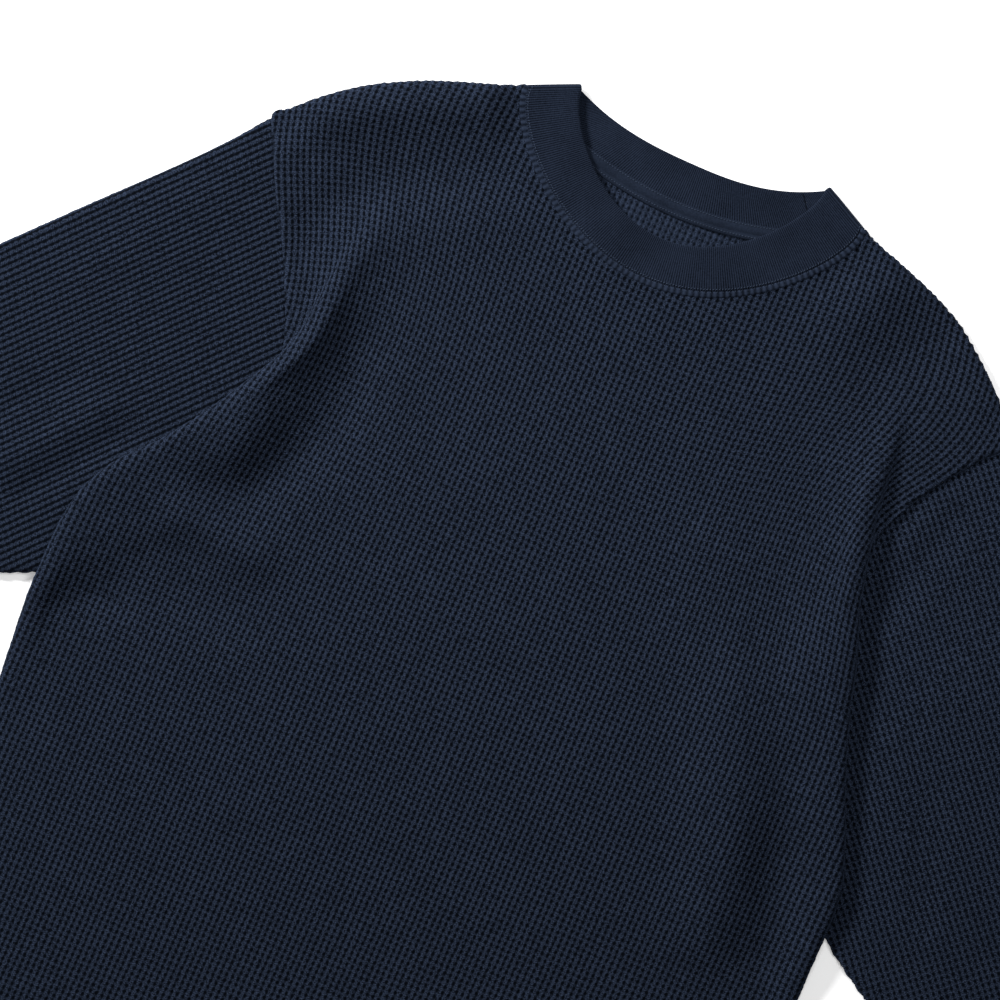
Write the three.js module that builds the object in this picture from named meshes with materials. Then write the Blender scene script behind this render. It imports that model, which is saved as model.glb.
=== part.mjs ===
// A crew-neck long-sleeved thermal top in waffle knit, laid flat on its back.
// The sleeves are turned down towards the sides, so a fold of the front lies over each underarm.
// Millimetres, +Z up, the neck towards +Y. The origin is under the middle of the back panel.
import * as THREE from "three";

// Driving dimensions
const WALL = 2.0; // the knit's thickness
const GAP = 0.4; // between pieces that are sewn together
const EDGE_GAP = 1.5; // between the two panels at the side seam
const HEM_Y = -356;
const NECK_LINE_Y = 350; // above every section
const FLOOR_LAYER = WALL / 2 + 0.15; // mid-wall height of cloth that lies on the surface
const LOFT = 6.0; // mid-wall height of the front over the back
const SHOULDER_ROLL = (LOFT - FLOOR_LAYER) / 2;
const HEM_THICKER = 0.8; // what the turned hem adds inside the wall
const SLEEVE_LENGTH = 575;
const SLEEVE_LOFT = 5.2;
const SLEEVE_END_Z = 3.5; // mid-wall height of a sleeve's upper layer at the armhole
const SLEEVE_RISE = 150; // how far the sleeve takes to rise to its loft
const SLEEVE_ANGLE = THREE.MathUtils.degToRad(48.5); // below the horizontal
const SEAM_LAP = 5; // how far a sleeve's end reaches under the front's edge

// Collar: a doubled rib band
const BAND = { thick: 2.8, outerHalf: 111.5, innerHalf: 81.3, frontZ: 6.2, backZ: 1.5 };
// Where the band turns from the front to the back, beside each shoulder.
const BAND_SIDES = { left: { seamY: 331, topY: 345 }, right: { seamY: 334.3, topY: 349.5 } };
const FRONT_NECK = { outerLow: 254, innerLow: 281 };
const BACK_NECK = { seamLow: 305, topLow: 331.5 };
const TAPE = { thick: 1.0, width: 10, lap: 1.5, half: 98 };

// The shoulder's outline on each side, from the collar to the armhole.
const SHOULDERS = {
  left: [
    { x: 113, y: 334 },
    { x: 130, y: 327 },
    { x: 152, y: 319 },
    { x: 174, y: 310 },
    { x: 195, y: 299 },
    { x: 209, y: 290 },
    { x: 224, y: 278 },
    { x: 245, y: 259 },
    { x: 251, y: 253 },
  ],
  right: [
    { x: 113, y: 337.4 },
    { x: 125, y: 333 },
    { x: 149, y: 325.3 },
    { x: 173, y: 317 },
    { x: 190, y: 309 },
    { x: 210, y: 294.6 },
    { x: 230, y: 277.4 },
    { x: 247, y: 263.6 },
    { x: 256, y: 257 },
  ],
};

// The armhole seam as it lies: in the open above the fold, then hidden under it.
const ARMHOLES = {
  left: [
    { x: 250, y: 254 },
    { x: 232, y: 217 },
    { x: 210, y: 179 },
    { x: 195, y: 150 },
    { x: 184, y: 122 },
    { x: 178, y: 92 },
    { x: 183, y: 52 },
    { x: 202, y: 12 },
    { x: 224, y: -19 },
    { x: 246, y: -43 },
    { x: 264, y: -60 },
  ],
  right: [
    { x: 255, y: 258 },
    { x: 234, y: 232 },
    { x: 218, y: 208 },
    { x: 205, y: 185 },
    { x: 197, y: 160 },
    { x: 190, y: 130 },
    { x: 187, y: 95 },
    { x: 191, y: 50 },
    { x: 206, y: 5 },
    { x: 228, y: -29 },
    { x: 249, y: -54 },
    { x: 264.6, y: -69 },
  ],
};

// One row for each section of the front, from the shoulder to the hem. fold is the outermost x,
// crest the mid-wall height along it. The cloth then passes under x and z, and ends at its seam.
const FRONT_SECTIONS = {
  left: [
    { y: 256, fold: 166, crest: 6.3, underX: 205, underZ: 6.0, end: 250, endZ: 6.0 },
    { y: 232, fold: 167, crest: 7.2, underX: 200, underZ: 5.8, end: 239, endZ: 6.0 },
    { y: 210, fold: 170, crest: 8.9, underX: 196, underZ: 5.8, end: 228, endZ: 6.0 },
    { y: 185, fold: 174, crest: 11.1, underX: 190, underZ: 5.8, end: 213, endZ: 6.0 },
    { y: 160, fold: 176.5, crest: 13.5, underX: 185, underZ: 5.9, end: 200, endZ: 6.1 },
    { y: 138, fold: 178.6, crest: 15.3, underX: 180, underZ: 7.2, end: 190, endZ: 6.0 },
    { y: 124, fold: 182.5, crest: 15.9, underX: 182.8, underZ: 8.2, end: 184.5, endZ: 6.0 },
    { y: 111, fold: 188.5, crest: 16.4, underX: 186, underZ: 7.7, end: 181, endZ: 6.9 },
    { y: 98, fold: 195.5, crest: 16.5, underX: 190, underZ: 7.4, end: 179, endZ: 7.3 },
    { y: 80, fold: 205.5, crest: 16.5, underX: 197, underZ: 7.4, end: 178.5, endZ: 7.3 },
    { y: 45, fold: 228, crest: 16.5, underX: 214, underZ: 7.4, end: 186, endZ: 7.3 },
    { y: 16, fold: 252, crest: 16.2, underX: 234, underZ: 7.4, end: 200, endZ: 7.3 },
    { y: -11, fold: 264, crest: 15.6, underX: 248, underZ: 7.4, end: 217, endZ: 7.3 },
    { y: -35, fold: 266.5, crest: 15.0, underX: 253, underZ: 7.4, end: 235, endZ: 7.3 },
    { y: -55, fold: 266.8, crest: 14.1, underX: 257, underZ: 7.2, end: 249, endZ: 7.0 },
    { y: -73, fold: 266.7, crest: 12.6, underX: 260, underZ: 6.6, end: 256, endZ: 6.2 },
    { y: -98, fold: 265.5, crest: 9.0, underX: 262, underZ: 1.15, end: 261, endZ: 1.15 },
    { y: -140, fold: 262, crest: 6.6, underX: 260, underZ: 1.15, end: 257.5, endZ: 1.15 },
    { y: -250, fold: 264, crest: 6.0, underX: 262, underZ: 1.15, end: 259.5, endZ: 1.15 },
    { y: -356, fold: 265, crest: 6.0, underX: 263, underZ: 1.15, end: 260.5, endZ: 1.15 },
  ],
  right: [
    { y: 258, fold: 183, crest: 6.3, underX: 220, underZ: 6.0, end: 255, endZ: 6.0 },
    { y: 240, fold: 184, crest: 7.5, underX: 214, underZ: 5.8, end: 240, endZ: 6.0 },
    { y: 222, fold: 186, crest: 9.9, underX: 204, underZ: 5.7, end: 227, endZ: 6.0 },
    { y: 204, fold: 188, crest: 12.6, underX: 196, underZ: 5.8, end: 215, endZ: 6.0 },
    { y: 186, fold: 189.5, crest: 14.7, underX: 193, underZ: 6.0, end: 205.5, endZ: 6.1 },
    { y: 168, fold: 193.6, crest: 16.0, underX: 195, underZ: 7.2, end: 199, endZ: 6.0 },
    { y: 155, fold: 196.3, crest: 16.4, underX: 196, underZ: 8.2, end: 196, endZ: 6.0 },
    { y: 142, fold: 199.5, crest: 16.5, underX: 196.5, underZ: 7.6, end: 192.5, endZ: 6.8 },
    { y: 125, fold: 204, crest: 16.5, underX: 198, underZ: 7.4, end: 189.5, endZ: 7.3 },
    { y: 97, fold: 214.5, crest: 16.5, underX: 204, underZ: 7.4, end: 188, endZ: 7.3 },
    { y: 60, fold: 226, crest: 16.2, underX: 212, underZ: 7.4, end: 190, endZ: 7.3 },
    { y: 20, fold: 241, crest: 15.9, underX: 224, underZ: 7.4, end: 201, endZ: 7.3 },
    { y: -15, fold: 256, crest: 15.3, underX: 238, underZ: 7.4, end: 217, endZ: 7.3 },
    { y: -45, fold: 266, crest: 14.7, underX: 252, underZ: 7.4, end: 237, endZ: 7.3 },
    { y: -65, fold: 267.4, crest: 13.8, underX: 257, underZ: 7.2, end: 249, endZ: 7.0 },
    { y: -84, fold: 267.8, crest: 12.3, underX: 260.5, underZ: 6.6, end: 256.5, endZ: 6.2 },
    { y: -110, fold: 269, crest: 9.0, underX: 265.5, underZ: 1.15, end: 264.5, endZ: 1.15 },
    { y: -150, fold: 268.5, crest: 6.6, underX: 266.5, underZ: 1.15, end: 264, endZ: 1.15 },
    { y: -250, fold: 268, crest: 6.0, underX: 266, underZ: 1.15, end: 263.5, endZ: 1.15 },
    { y: -356, fold: 267, crest: 6.0, underX: 265, underZ: 1.15, end: 262.5, endZ: 1.15 },
  ],
};

// Sleeves: along is the distance from the shoulder tip down the sleeve, low the distance across
// from the axis line to the underarm edge, high the same to the upper edge.
const SLEEVES = {
  left: [
    { along: -20, high: 0.5, low: 212 },
    { along: 10, high: 1.6, low: 212 },
    { along: 27, high: 3.6, low: 212 },
    { along: 60, high: 4.2, low: 212 },
    { along: 150, high: 3.4, low: 212 },
    { along: 187, high: 3.0, low: 210 },
    { along: 220, high: 3.0, low: 205.5 },
    { along: 245, high: 3.0, low: 199.8 },
    { along: 271, high: 3.0, low: 189 },
    { along: 300, high: 3.0, low: 178 },
    { along: 400, high: 4.0, low: 149 },
    { along: 500, high: 6.0, low: 126 },
    { along: 575, high: 6.0, low: 115 },
  ],
  right: [
    { along: -20, high: 0.5, low: 222 },
    { along: 10, high: 1.6, low: 222 },
    { along: 60, high: 4.5, low: 222 },
    { along: 157, high: 4.0, low: 222 },
    { along: 197, high: 3.0, low: 221 },
    { along: 231, high: 3.0, low: 217 },
    { along: 255, high: 3.0, low: 209.8 },
    { along: 275, high: 3.0, low: 205 },
    { along: 297, high: 3.0, low: 198.2 },
    { along: 345, high: 4.0, low: 182 },
    { along: 400, high: 5.0, low: 161 },
    { along: 500, high: 6.0, low: 130 },
    { along: 575, high: 6.0, low: 117 },
  ],
};
const SEAM_STEPS = 14; // columns on a sleeve's upper layer
const SHOULDER_TIPS = { left: { x: 250, y: 254 }, right: { x: 255, y: 258 } };

// Soft ridges (+) and troughs (-) on the front: a line from one point to another, in the garment's
// plane, with its half width and its height.
const FRONT_CREASES = [
  { x0: -128, y0: 292, x1: -196, y1: 262, half: 17, height: -1.7 },
  { x0: -190, y0: 262, x1: -200, y1: 214, half: 11, height: -0.8 },
  { x0: -100, y0: 236, x1: -160, y1: 226, half: 26, height: 1.3 },
  { x0: -136, y0: 174, x1: -170, y1: 60, half: 15, height: -1.4 },
  { x0: -178, y0: 4, x1: -232, y1: 4, half: 16, height: 1.9 },
  { x0: -170, y0: -30, x1: -214, y1: -40, half: 14, height: -1.9 },
  { x0: 128, y0: 296, x1: 196, y1: 270, half: 17, height: -1.6 },
  { x0: 150, y0: 216, x1: 196, y1: 60, half: 24, height: 1.4 },
  { x0: 98, y0: 86, x1: 196, y1: -28, half: 26, height: 1.5 },
  { x0: 188, y0: -70, x1: 226, y1: -140, half: 24, height: -2.2 },
];
// The same on the sleeves' upper layers, by distance along and across the sleeve.
const SLEEVE_CREASES = {
  left: [
    { x0: 160, y0: 142, x1: 244, y1: 151, half: 8, height: -1.3 },
    { x0: 160, y0: 121, x1: 250, y1: 131, half: 9, height: 1.0 },
    { x0: 174, y0: 97, x1: 262, y1: 98, half: 11, height: -1.0 },
    { x0: 330, y0: 40, x1: 430, y1: 108, half: 15, height: -1.4 },
  ],
  right: [
    { x0: 30, y0: 40, x1: 96, y1: 92, half: 14, height: -1.0 },
    { x0: 190, y0: 120, x1: 270, y1: 148, half: 12, height: -1.2 },
    { x0: 340, y0: 44, x1: 440, y1: 104, half: 15, height: -1.4 },
  ],
};

const mix = (a, b, t) => a + (b - a) * t;
const clamp01 = (t) => Math.min(1, Math.max(0, t));
const ease = (t) => clamp01(t) ** 2 * (3 - 2 * clamp01(t));

// A smooth curve through a table's column, by another column that rises or falls steadily.
function read(table, by, column, at) {
  const rising = table[table.length - 1][by] > table[0][by];
  const rows = rising ? table : [...table].reverse();
  if (at <= rows[0][by]) return rows[0][column];
  if (at >= rows[rows.length - 1][by]) return rows[rows.length - 1][column];
  const i = rows.findIndex((row, k) => at < rows[k + 1][by]);
  const slope = (k) => {
    const a = rows[Math.max(0, k - 1)];
    const b = rows[k];
    const c = rows[Math.min(rows.length - 1, k + 1)];
    const before = a === b ? 0 : (b[column] - a[column]) / (b[by] - a[by]);
    const after = c === b ? 0 : (c[column] - b[column]) / (c[by] - b[by]);
    return before * after <= 0 ? 0 : (2 * before * after) / (before + after);
  };
  const span = rows[i + 1][by] - rows[i][by];
  const t = (at - rows[i][by]) / span;
  const t2 = t * t;
  const t3 = t2 * t;
  return (
    rows[i][column] * (2 * t3 - 3 * t2 + 1) +
    slope(i) * span * (t3 - 2 * t2 + t) +
    rows[i + 1][column] * (3 * t2 - 2 * t3) +
    slope(i + 1) * span * (t3 - t2)
  );
}

// The height that a table of creases adds at a point.
function creased(creases, x, y) {
  let height = 0;
  for (const c of creases) {
    const dx = c.x1 - c.x0;
    const dy = c.y1 - c.y0;
    const t = clamp01(((x - c.x0) * dx + (y - c.y0) * dy) / (dx * dx + dy * dy));
    const away = Math.hypot(x - c.x0 - t * dx, y - c.y0 - t * dy);
    height += c.height * Math.exp(-((away / c.half) ** 2));
  }
  return height;
}

// The neckline's shape: 0 at the middle and 1 at the collar's side.
function scoop(share) {
  const t = Math.min(1, Math.abs(share));
  return 0.5 * t * t + 0.5 * (1 - Math.sqrt(1 - t * t));
}

// A point of a smooth curve drawn by control points, from the first at 0 to the last at 1.
function drawn(points, share) {
  const last = points.length - 1;
  const padded = [points[0], points[0], ...points, points[last], points[last]];
  const spans = padded.length - 3;
  const at = Math.min(share * spans, spans - 1e-9);
  const i = Math.floor(at);
  const t = at - i;
  const weights = [
    (1 - t) ** 3 / 6,
    (3 * t ** 3 - 6 * t ** 2 + 4) / 6,
    (-3 * t ** 3 + 3 * t ** 2 + 3 * t + 1) / 6,
    t ** 3 / 6,
  ];
  return [0, 1].map((axis) => weights.reduce((sum, w, k) => sum + w * padded[i + k][axis], 0));
}

// The polyline moved sideways, towards the garment's middle.
function inset(points, by) {
  return points.map((p, i) => {
    const a = points[Math.max(0, i - 1)];
    const b = points[Math.min(points.length - 1, i + 1)];
    const length = Math.hypot(b.x - a.x, b.y - a.y);
    return { x: p.x + (by * (b.y - a.y)) / length, y: p.y - (by * (b.x - a.x)) / length };
  });
}

// A closed mesh from grids of points on its two faces. around joins the last column to the first.
function solidFrom(upper, lower, around = false) {
  const rows = upper.length;
  const columns = upper[0].length;
  const positions = [...upper.flat(), ...lower.flat()].flat();
  const under = rows * columns;
  const index = [];
  const quad = (a, b, c, d) => index.push(a, b, c, a, c, d);
  const at = (i, j) => i * columns + (j % columns);
  const lastColumn = around ? columns : columns - 1;
  for (let i = 0; i < rows - 1; i++)
    for (let j = 0; j < lastColumn; j++) {
      quad(at(i, j), at(i + 1, j), at(i + 1, j + 1), at(i, j + 1));
      quad(under + at(i, j), under + at(i, j + 1), under + at(i + 1, j + 1), under + at(i + 1, j));
    }
  for (let j = 0; j < lastColumn; j++) {
    quad(at(0, j), at(0, j + 1), under + at(0, j + 1), under + at(0, j));
    const end = rows - 1;
    quad(at(end, j + 1), at(end, j), under + at(end, j), under + at(end, j + 1));
  }
  if (!around)
    for (let i = 0; i < rows - 1; i++) {
      quad(at(i + 1, 0), at(i, 0), under + at(i, 0), under + at(i + 1, 0));
      const end = columns - 1;
      quad(at(i, end), at(i + 1, end), under + at(i + 1, end), under + at(i, end));
    }
  const geometry = new THREE.BufferGeometry();
  geometry.setAttribute("position", new THREE.Float32BufferAttribute(positions, 3));
  geometry.setIndex(index);
  geometry.computeVertexNormals();
  return geometry;
}

// A wall of cloth around a grid of points at its middle. added thickens the inner face.
function wall(grid, { thick = WALL, added = () => 0, around = false } = {}) {
  const columns = grid[0].length;
  const point = (i, j) => new THREE.Vector3(...grid[i][j]);
  // The next column this way that stands clear of a point, so that close columns share a direction.
  const beside = (i, j, step) => {
    let k = j;
    do {
      const next = around ? (k + step + columns) % columns : k + step;
      if (next < 0 || next >= columns) return k;
      k = next;
    } while (point(i, k).distanceTo(point(i, j)) < 0.8 * thick);
    return k;
  };
  const facing = (i, j) => {
    const across = point(i, beside(i, j, 1)).sub(point(i, beside(i, j, -1)));
    const down = point(Math.min(grid.length - 1, i + 1), j).sub(point(Math.max(0, i - 1), j));
    return down.cross(across).normalize();
  };
  const moved = (by) =>
    grid.map((row, i) =>
      row.map((p, j) => facing(i, j).multiplyScalar(by(i, j)).add(point(i, j)).toArray()),
    );
  return solidFrom(
    moved(() => thick / 2),
    moved((i, j) => -thick / 2 - added(i, j)),
    around,
  );
}

// A section of the front: its points, how far along it each is, and how far the fold's nose is.
const sections = new Map();
function section(side, y) {
  const key = side + y;
  if (sections.has(key)) return sections.get(key);
  const row = (column) => read(FRONT_SECTIONS[side], "y", column, y);
  const [fold, crest, underX, underZ] = ["fold", "crest", "underX", "underZ"].map(row);
  const end = [row("end"), row("endZ")];
  const under = clamp01((fold - end[0]) / 12); // 1 where the cloth turns back under itself
  const over = Math.min(end[0], fold - 14);
  const clear = Math.max(underZ, end[1]) + WALL + 2 * GAP;
  const high = Math.max(mix(LOFT, crest, 0.3), mix(LOFT, clear, under));
  const nose = fold - WALL / 2 + 0.9;
  const control = [
    [0, LOFT],
    [(over - 36) * 0.5, LOFT],
    [over - 36, LOFT],
    [over - 20, mix(LOFT, high, 0.25)],
    [over - 5, high],
    [mix(over, fold - 12, 0.5), mix(high, crest, 0.6)],
    [fold - 10, crest],
    [nose, crest],
    [nose, underZ],
    [underX, underZ],
    [mix(underX, end[0], 0.5), mix(underZ, end[1], 0.5)],
    end,
  ];
  const steps = 120;
  const points = Array.from({ length: steps + 1 }, (_, k) => drawn(control, k / steps));
  const lengths = [0];
  for (let k = 1; k <= steps; k++) {
    const step = Math.hypot(points[k][0] - points[k - 1][0], points[k][1] - points[k - 1][1]);
    lengths.push(lengths[k - 1] + step);
  }
  const turn = points.findIndex((p, k) => k > 0.6 * steps && p[1] < mix(crest, underZ, 0.5));
  const made = { points, lengths, nose: lengths[turn], total: lengths[steps], fold, end: end[0] };
  sections.set(key, made);
  return made;
}

const NECK_STEPS = 12; // columns from the middle to the collar's side, and the band's for a quarter turn
const FOLD_STEPS = [40, 29, 20, 13.5, 8.5, 4.6, 2.2, 0]; // columns near the fold: distances before its nose
const TAIL_STEPS = 6; // columns from there to the seam
const MOST = NECK_STEPS + FOLD_STEPS.length + TAIL_STEPS;

// Where a column of the front lies: its x and z on the section at y.
function frontPoint(side, column, y) {
  const { points, lengths, nose, total, fold, end } = section(side, y);
  const beyond = column - NECK_STEPS - FOLD_STEPS.length;
  let at = nose + (total - nose) * (beyond / TAIL_STEPS) ** mix(1, 1.8, clamp01((total - nose - 6) / 50));
  if (beyond <= 0) at = nose - FOLD_STEPS[column - NECK_STEPS - 1];
  if (column <= NECK_STEPS) {
    const share = Math.sin((Math.PI / 2) * (column / NECK_STEPS));
    at = (share * BAND.outerHalf * nose) / section(side, NECK_LINE_Y).nose;
  }
  const k = Math.max(1, lengths.findIndex((length) => length >= Math.min(at, total) - 1e-6));
  const t = clamp01((at - lengths[k - 1]) / (lengths[k] - lengths[k - 1]));
  const x = mix(points[k - 1][0], points[k][0], t) * (side === "left" ? -1 : 1);
  const z = mix(points[k - 1][1], points[k][1], t);
  const shelf = end > fold + 20 ? ease((at - nose - 6) / 10) : 0;
  const top = Math.max(1 - ease((at - nose + 14) / 12), shelf);
  return [x, z + creased(FRONT_CREASES, x, y) * top];
}

// The neck's seam at a share of the way from the middle to the collar's side, front and back.
const sideOf = (x) => (x < 0 ? "left" : "right");
const frontSeamY = (side, share) => mix(FRONT_NECK.outerLow, BAND_SIDES[side].seamY, scoop(share));
const backSeamY = (side, share) => mix(BACK_NECK.seamLow, BAND_SIDES[side].seamY, share * share);

// The y of the front's upper edge above a point of the section.
function frontTop(side, x) {
  const away = Math.abs(x);
  if (away < BAND.outerHalf) return frontSeamY(side, away / BAND.outerHalf) - GAP / 2;
  return read(SHOULDERS[side], "x", "y", away);
}

const ROLL_STEPS = 4; // rows round the shoulder's rolled edge
const SECTION_ROWS = [
  250, 238, 224, 208, 192, 176, 160, 146, 134, 122, 110, 98, 85, 70, 54, 36, 18, 0, -18, -36, -52,
  -66, -80, -94, -110, -136, -180, -240, -300, -331, -356,
];

function frontGrid() {
  const columns = [];
  const first = SECTION_ROWS[0];
  for (let j = -MOST; j <= MOST; j++) {
    const side = j < 0 ? "left" : "right";
    const step = Math.abs(j);
    const x0 = frontPoint(side, step, NECK_LINE_Y)[0];
    const top = frontTop(side, x0);
    const tip = SHOULDER_TIPS[side].x - Math.abs(x0);
    const rolled = Math.min(clamp01((Math.abs(x0) - BAND.outerHalf) / 7), clamp01(tip / 10));
    const slope = rolled > 0 ? frontTop(side, Math.abs(x0) + 1) - frontTop(side, Math.abs(x0) - 1) : 0;
    const steep = Math.hypot(1, slope / 2);
    const radius = SHOULDER_ROLL;
    const column = [];
    for (let k = 0; k < ROLL_STEPS; k++) {
      const turn = (Math.PI * k) / ROLL_STEPS;
      const round = [radius - radius * Math.sin(turn) + WALL / 2, LOFT - radius - radius * Math.cos(turn)];
      const plain = [(k * radius) / ROLL_STEPS, LOFT - 0.1];
      const inward = mix(plain[0], round[0], rolled) * steep;
      column.push([x0, top - inward, mix(plain[1], round[1], rolled)]);
    }
    const start = top - mix(radius, radius + WALL / 2, rolled) * steep;
    for (const y of SECTION_ROWS) {
      const at = start - ((first - y) / (first - HEM_Y)) * (start - HEM_Y);
      const [x, z] = frontPoint(side, step, at);
      column.push([x, at, z]);
    }
    columns.push(column);
  }
  return columns[0].map((_, i) => columns.map((column) => column[i]));
}

function front() {
  const grid = frontGrid();
  const turned = grid.length - 2;
  return wall(grid, { added: (i) => (i >= turned ? HEM_THICKER : 0) });
}

// A point of the sleeve's seam in its own directions, at a share of the way from the shoulder.
function seamPoint(side, share) {
  const { measure } = sleeveAxes(side);
  const rows = [{ at: 0, x: ARMHOLES[side][0].x, y: ARMHOLES[side][0].y }];
  for (const p of ARMHOLES[side].slice(1)) {
    const before = rows[rows.length - 1];
    rows.push({ at: before.at + Math.hypot(p.x - before.x, p.y - before.y), x: p.x, y: p.y });
  }
  const at = share * rows[rows.length - 1].at;
  const lap = SEAM_LAP * (1 - ease((share - 0.8) / 0.2));
  const p = measure({ x: read(rows, "at", "x", at) - lap, y: read(rows, "at", "y", at) });
  const [from, to] = layerEdges(side, p.along, SLEEVE_END_Z);
  return { along: p.along, across: Math.min(to, Math.max(from, p.across)) };
}

// Where a sleeve's upper layer begins and ends across, at a distance down it and a height.
function layerEdges(side, along, height) {
  const room = WALL / 2 + (height - FLOOR_LAYER) / 2;
  const width = (column) => read(SLEEVES[side], "along", column, along);
  return [width("high") + room, width("low") - room];
}

// The back panel lies flat on the surface, and its edges stand just inside the front's.
function backHalf(side) {
  const shoulder = inset(SHOULDERS[side], SHOULDER_ROLL + WALL / 2 + 3 * GAP);
  const tip = SHOULDER_TIPS[side];
  const points = [];
  for (let k = 0; k <= 12; k++) {
    const share = Math.sin((k / 12) * (Math.PI / 2));
    points.push({ x: share * (BAND.outerHalf - 1), y: backSeamY(side, share) - GAP });
  }
  points.push(...shoulder.filter((p) => p.x > BAND.outerHalf + 4 && p.x < tip.x - 14));
  const armhole = [];
  for (let k = 1; k <= SEAM_STEPS; k++) {
    const seam = seamPoint(side, k / SEAM_STEPS);
    const [x, y] = sleeveAxes(side).place(seam.along, seam.across);
    armhole.push({ x: Math.abs(x), y });
  }
  points.push(...inset(armhole, 2 * GAP).slice(1, -1));
  const rows = FRONT_SECTIONS[side];
  const open = rows.findIndex((row) => row.endZ < WALL);
  const first = rows[open].y + 14;
  points.push({ x: read(rows, "y", "end", first) - EDGE_GAP, y: first });
  for (const row of rows.slice(open)) points.push({ x: row.end - EDGE_GAP, y: row.y });
  return points;
}

function back() {
  const right = backHalf("right");
  const left = backHalf("left").map((p) => ({ x: -p.x, y: p.y }));
  const outline = [...right, ...left.slice(1).reverse()].map((p) => new THREE.Vector2(p.x, p.y));
  return new THREE.ExtrudeGeometry(new THREE.Shape(outline), { depth: WALL, bevelEnabled: false });
}

// A sleeve's own directions in the garment's plane: down its length, and across to the underarm.
function sleeveAxes(side) {
  const sign = side === "left" ? -1 : 1;
  const [cos, sin] = [Math.cos(SLEEVE_ANGLE), Math.sin(SLEEVE_ANGLE)];
  const tip = SHOULDER_TIPS[side];
  return {
    place: (along, across) => [
      sign * (tip.x + along * cos - across * sin),
      tip.y - along * sin - across * cos,
    ],
    measure: (p) => ({
      along: (p.x - tip.x) * cos - (p.y - tip.y) * sin,
      across: -(p.x - tip.x) * sin - (p.y - tip.y) * cos,
    }),
  };
}

const EDGE_STEPS = 4; // columns round each of its edges
const ALONG_STEPS = 15;

function sleeve(side) {
  const { place } = sleeveAxes(side);
  const ring = [];
  for (let k = 0; k <= SEAM_STEPS; k++) ring.push({ share: k / SEAM_STEPS, layer: 1 });
  for (let k = 1; k < EDGE_STEPS; k++) ring.push({ share: 1, layer: 1, turn: k / EDGE_STEPS });
  for (let k = SEAM_STEPS; k >= 0; k--) ring.push({ share: k / SEAM_STEPS, layer: 0 });
  for (let k = 1; k < EDGE_STEPS; k++) ring.push({ share: 0, layer: 0, turn: k / EDGE_STEPS });
  const grid = [];
  for (let i = 0; i <= ALONG_STEPS; i++) {
    const row = ring.map(({ share, layer, turn = 0 }) => {
      const start = seamPoint(side, share);
      const [first, last] = layerEdges(side, start.along, SLEEVE_END_Z);
      const seamShare = (start.across - first) / (last - first);
      const along = mix(start.along, SLEEVE_LENGTH, (i / ALONG_STEPS) ** 1.25);
      const rise = ease((along - start.along) / SLEEVE_RISE);
      const even = mix(seamShare, share, rise);
      const height = mix(SLEEVE_END_Z, SLEEVE_LOFT, rise);
      const radius = (height - FLOOR_LAYER) / 2;
      const [from, to] = layerEdges(side, along, height);
      const across = mix(from, to, even);
      const angle = Math.PI * turn;
      const out = radius * Math.sin(angle) * (share > 0.5 ? 1 : -1);
      const lift = radius * Math.cos(turn ? angle : 0) * (layer ? 1 : -1);
      const inside = Math.min(1, 6 * even * (1 - even));
      const bump = layer && !turn ? creased(SLEEVE_CREASES[side], along, across) * inside * rise : 0;
      const [x, y] = place(along, across + out);
      return [x, y, FLOOR_LAYER + radius + lift + bump];
    });
    grid.push(row);
  }
  const turned = ALONG_STEPS;
  const mirrored = side === "right" ? grid.map((row) => [...row].reverse()) : grid;
  return wall(mirrored, { around: true, added: (i) => (i >= turned ? HEM_THICKER / 2 : 0) });
}

// The band's section: a rounded slab from its seam to its folded edge, in shares of its width and thickness.
const BAND_SECTION = [
  [0.02, -0.5],
  [0.5, -0.5],
  [0.95, -0.5],
  [1, -0.25],
  [1, 0.25],
  [0.95, 0.5],
  [0.5, 0.5],
  [0.02, 0.5],
];

// The band's two edges at an angle round the neck: 0 is the right side, a quarter turn the back.
function bandEdges(angle) {
  const [cos, sin] = [Math.cos(angle), Math.sin(angle)];
  const side = sideOf(cos);
  const share = Math.abs(cos);
  const isBack = sin >= 0;
  const seamY = isBack ? backSeamY(side, share) : frontSeamY(side, share);
  const topY = isBack
    ? mix(BACK_NECK.topLow, BAND_SIDES[side].topY, share ** 2.6)
    : mix(FRONT_NECK.innerLow, BAND_SIDES[side].topY, scoop(share));
  const height = isBack ? BAND.backZ : BAND.frontZ;
  const lifted = isBack ? 0 : 0.6 * ease(-sin / 0.6);
  return {
    seam: [(BAND.outerHalf - GAP / 2) * cos, seamY + GAP / 2, height],
    top: [BAND.innerHalf * cos, topY, height + lifted],
    outward: [0, 0, isBack ? -1 : 1],
  };
}

// The same where the band folds over beside the shoulder. turn goes from the front to the back.
function foldEdges(sign, turn) {
  const radius = (BAND.frontZ - BAND.backZ) / 2;
  const { seamY, topY } = BAND_SIDES[sideOf(sign)];
  const run = [BAND.outerHalf - BAND.innerHalf, topY - seamY];
  const length = Math.hypot(...run);
  const away = [(sign * run[1]) / length, run[0] / length];
  const [cos, sin] = [Math.cos(turn), Math.sin(turn)];
  const edge = (x, y) => [
    sign * x + away[0] * radius * sin,
    y + away[1] * radius * sin,
    (BAND.frontZ + BAND.backZ) / 2 + radius * cos,
  ];
  return {
    seam: edge(BAND.outerHalf - GAP / 2, seamY + GAP / 2),
    top: edge(BAND.innerHalf, topY),
    outward: [away[0] * sin, away[1] * sin, cos],
  };
}

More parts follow.
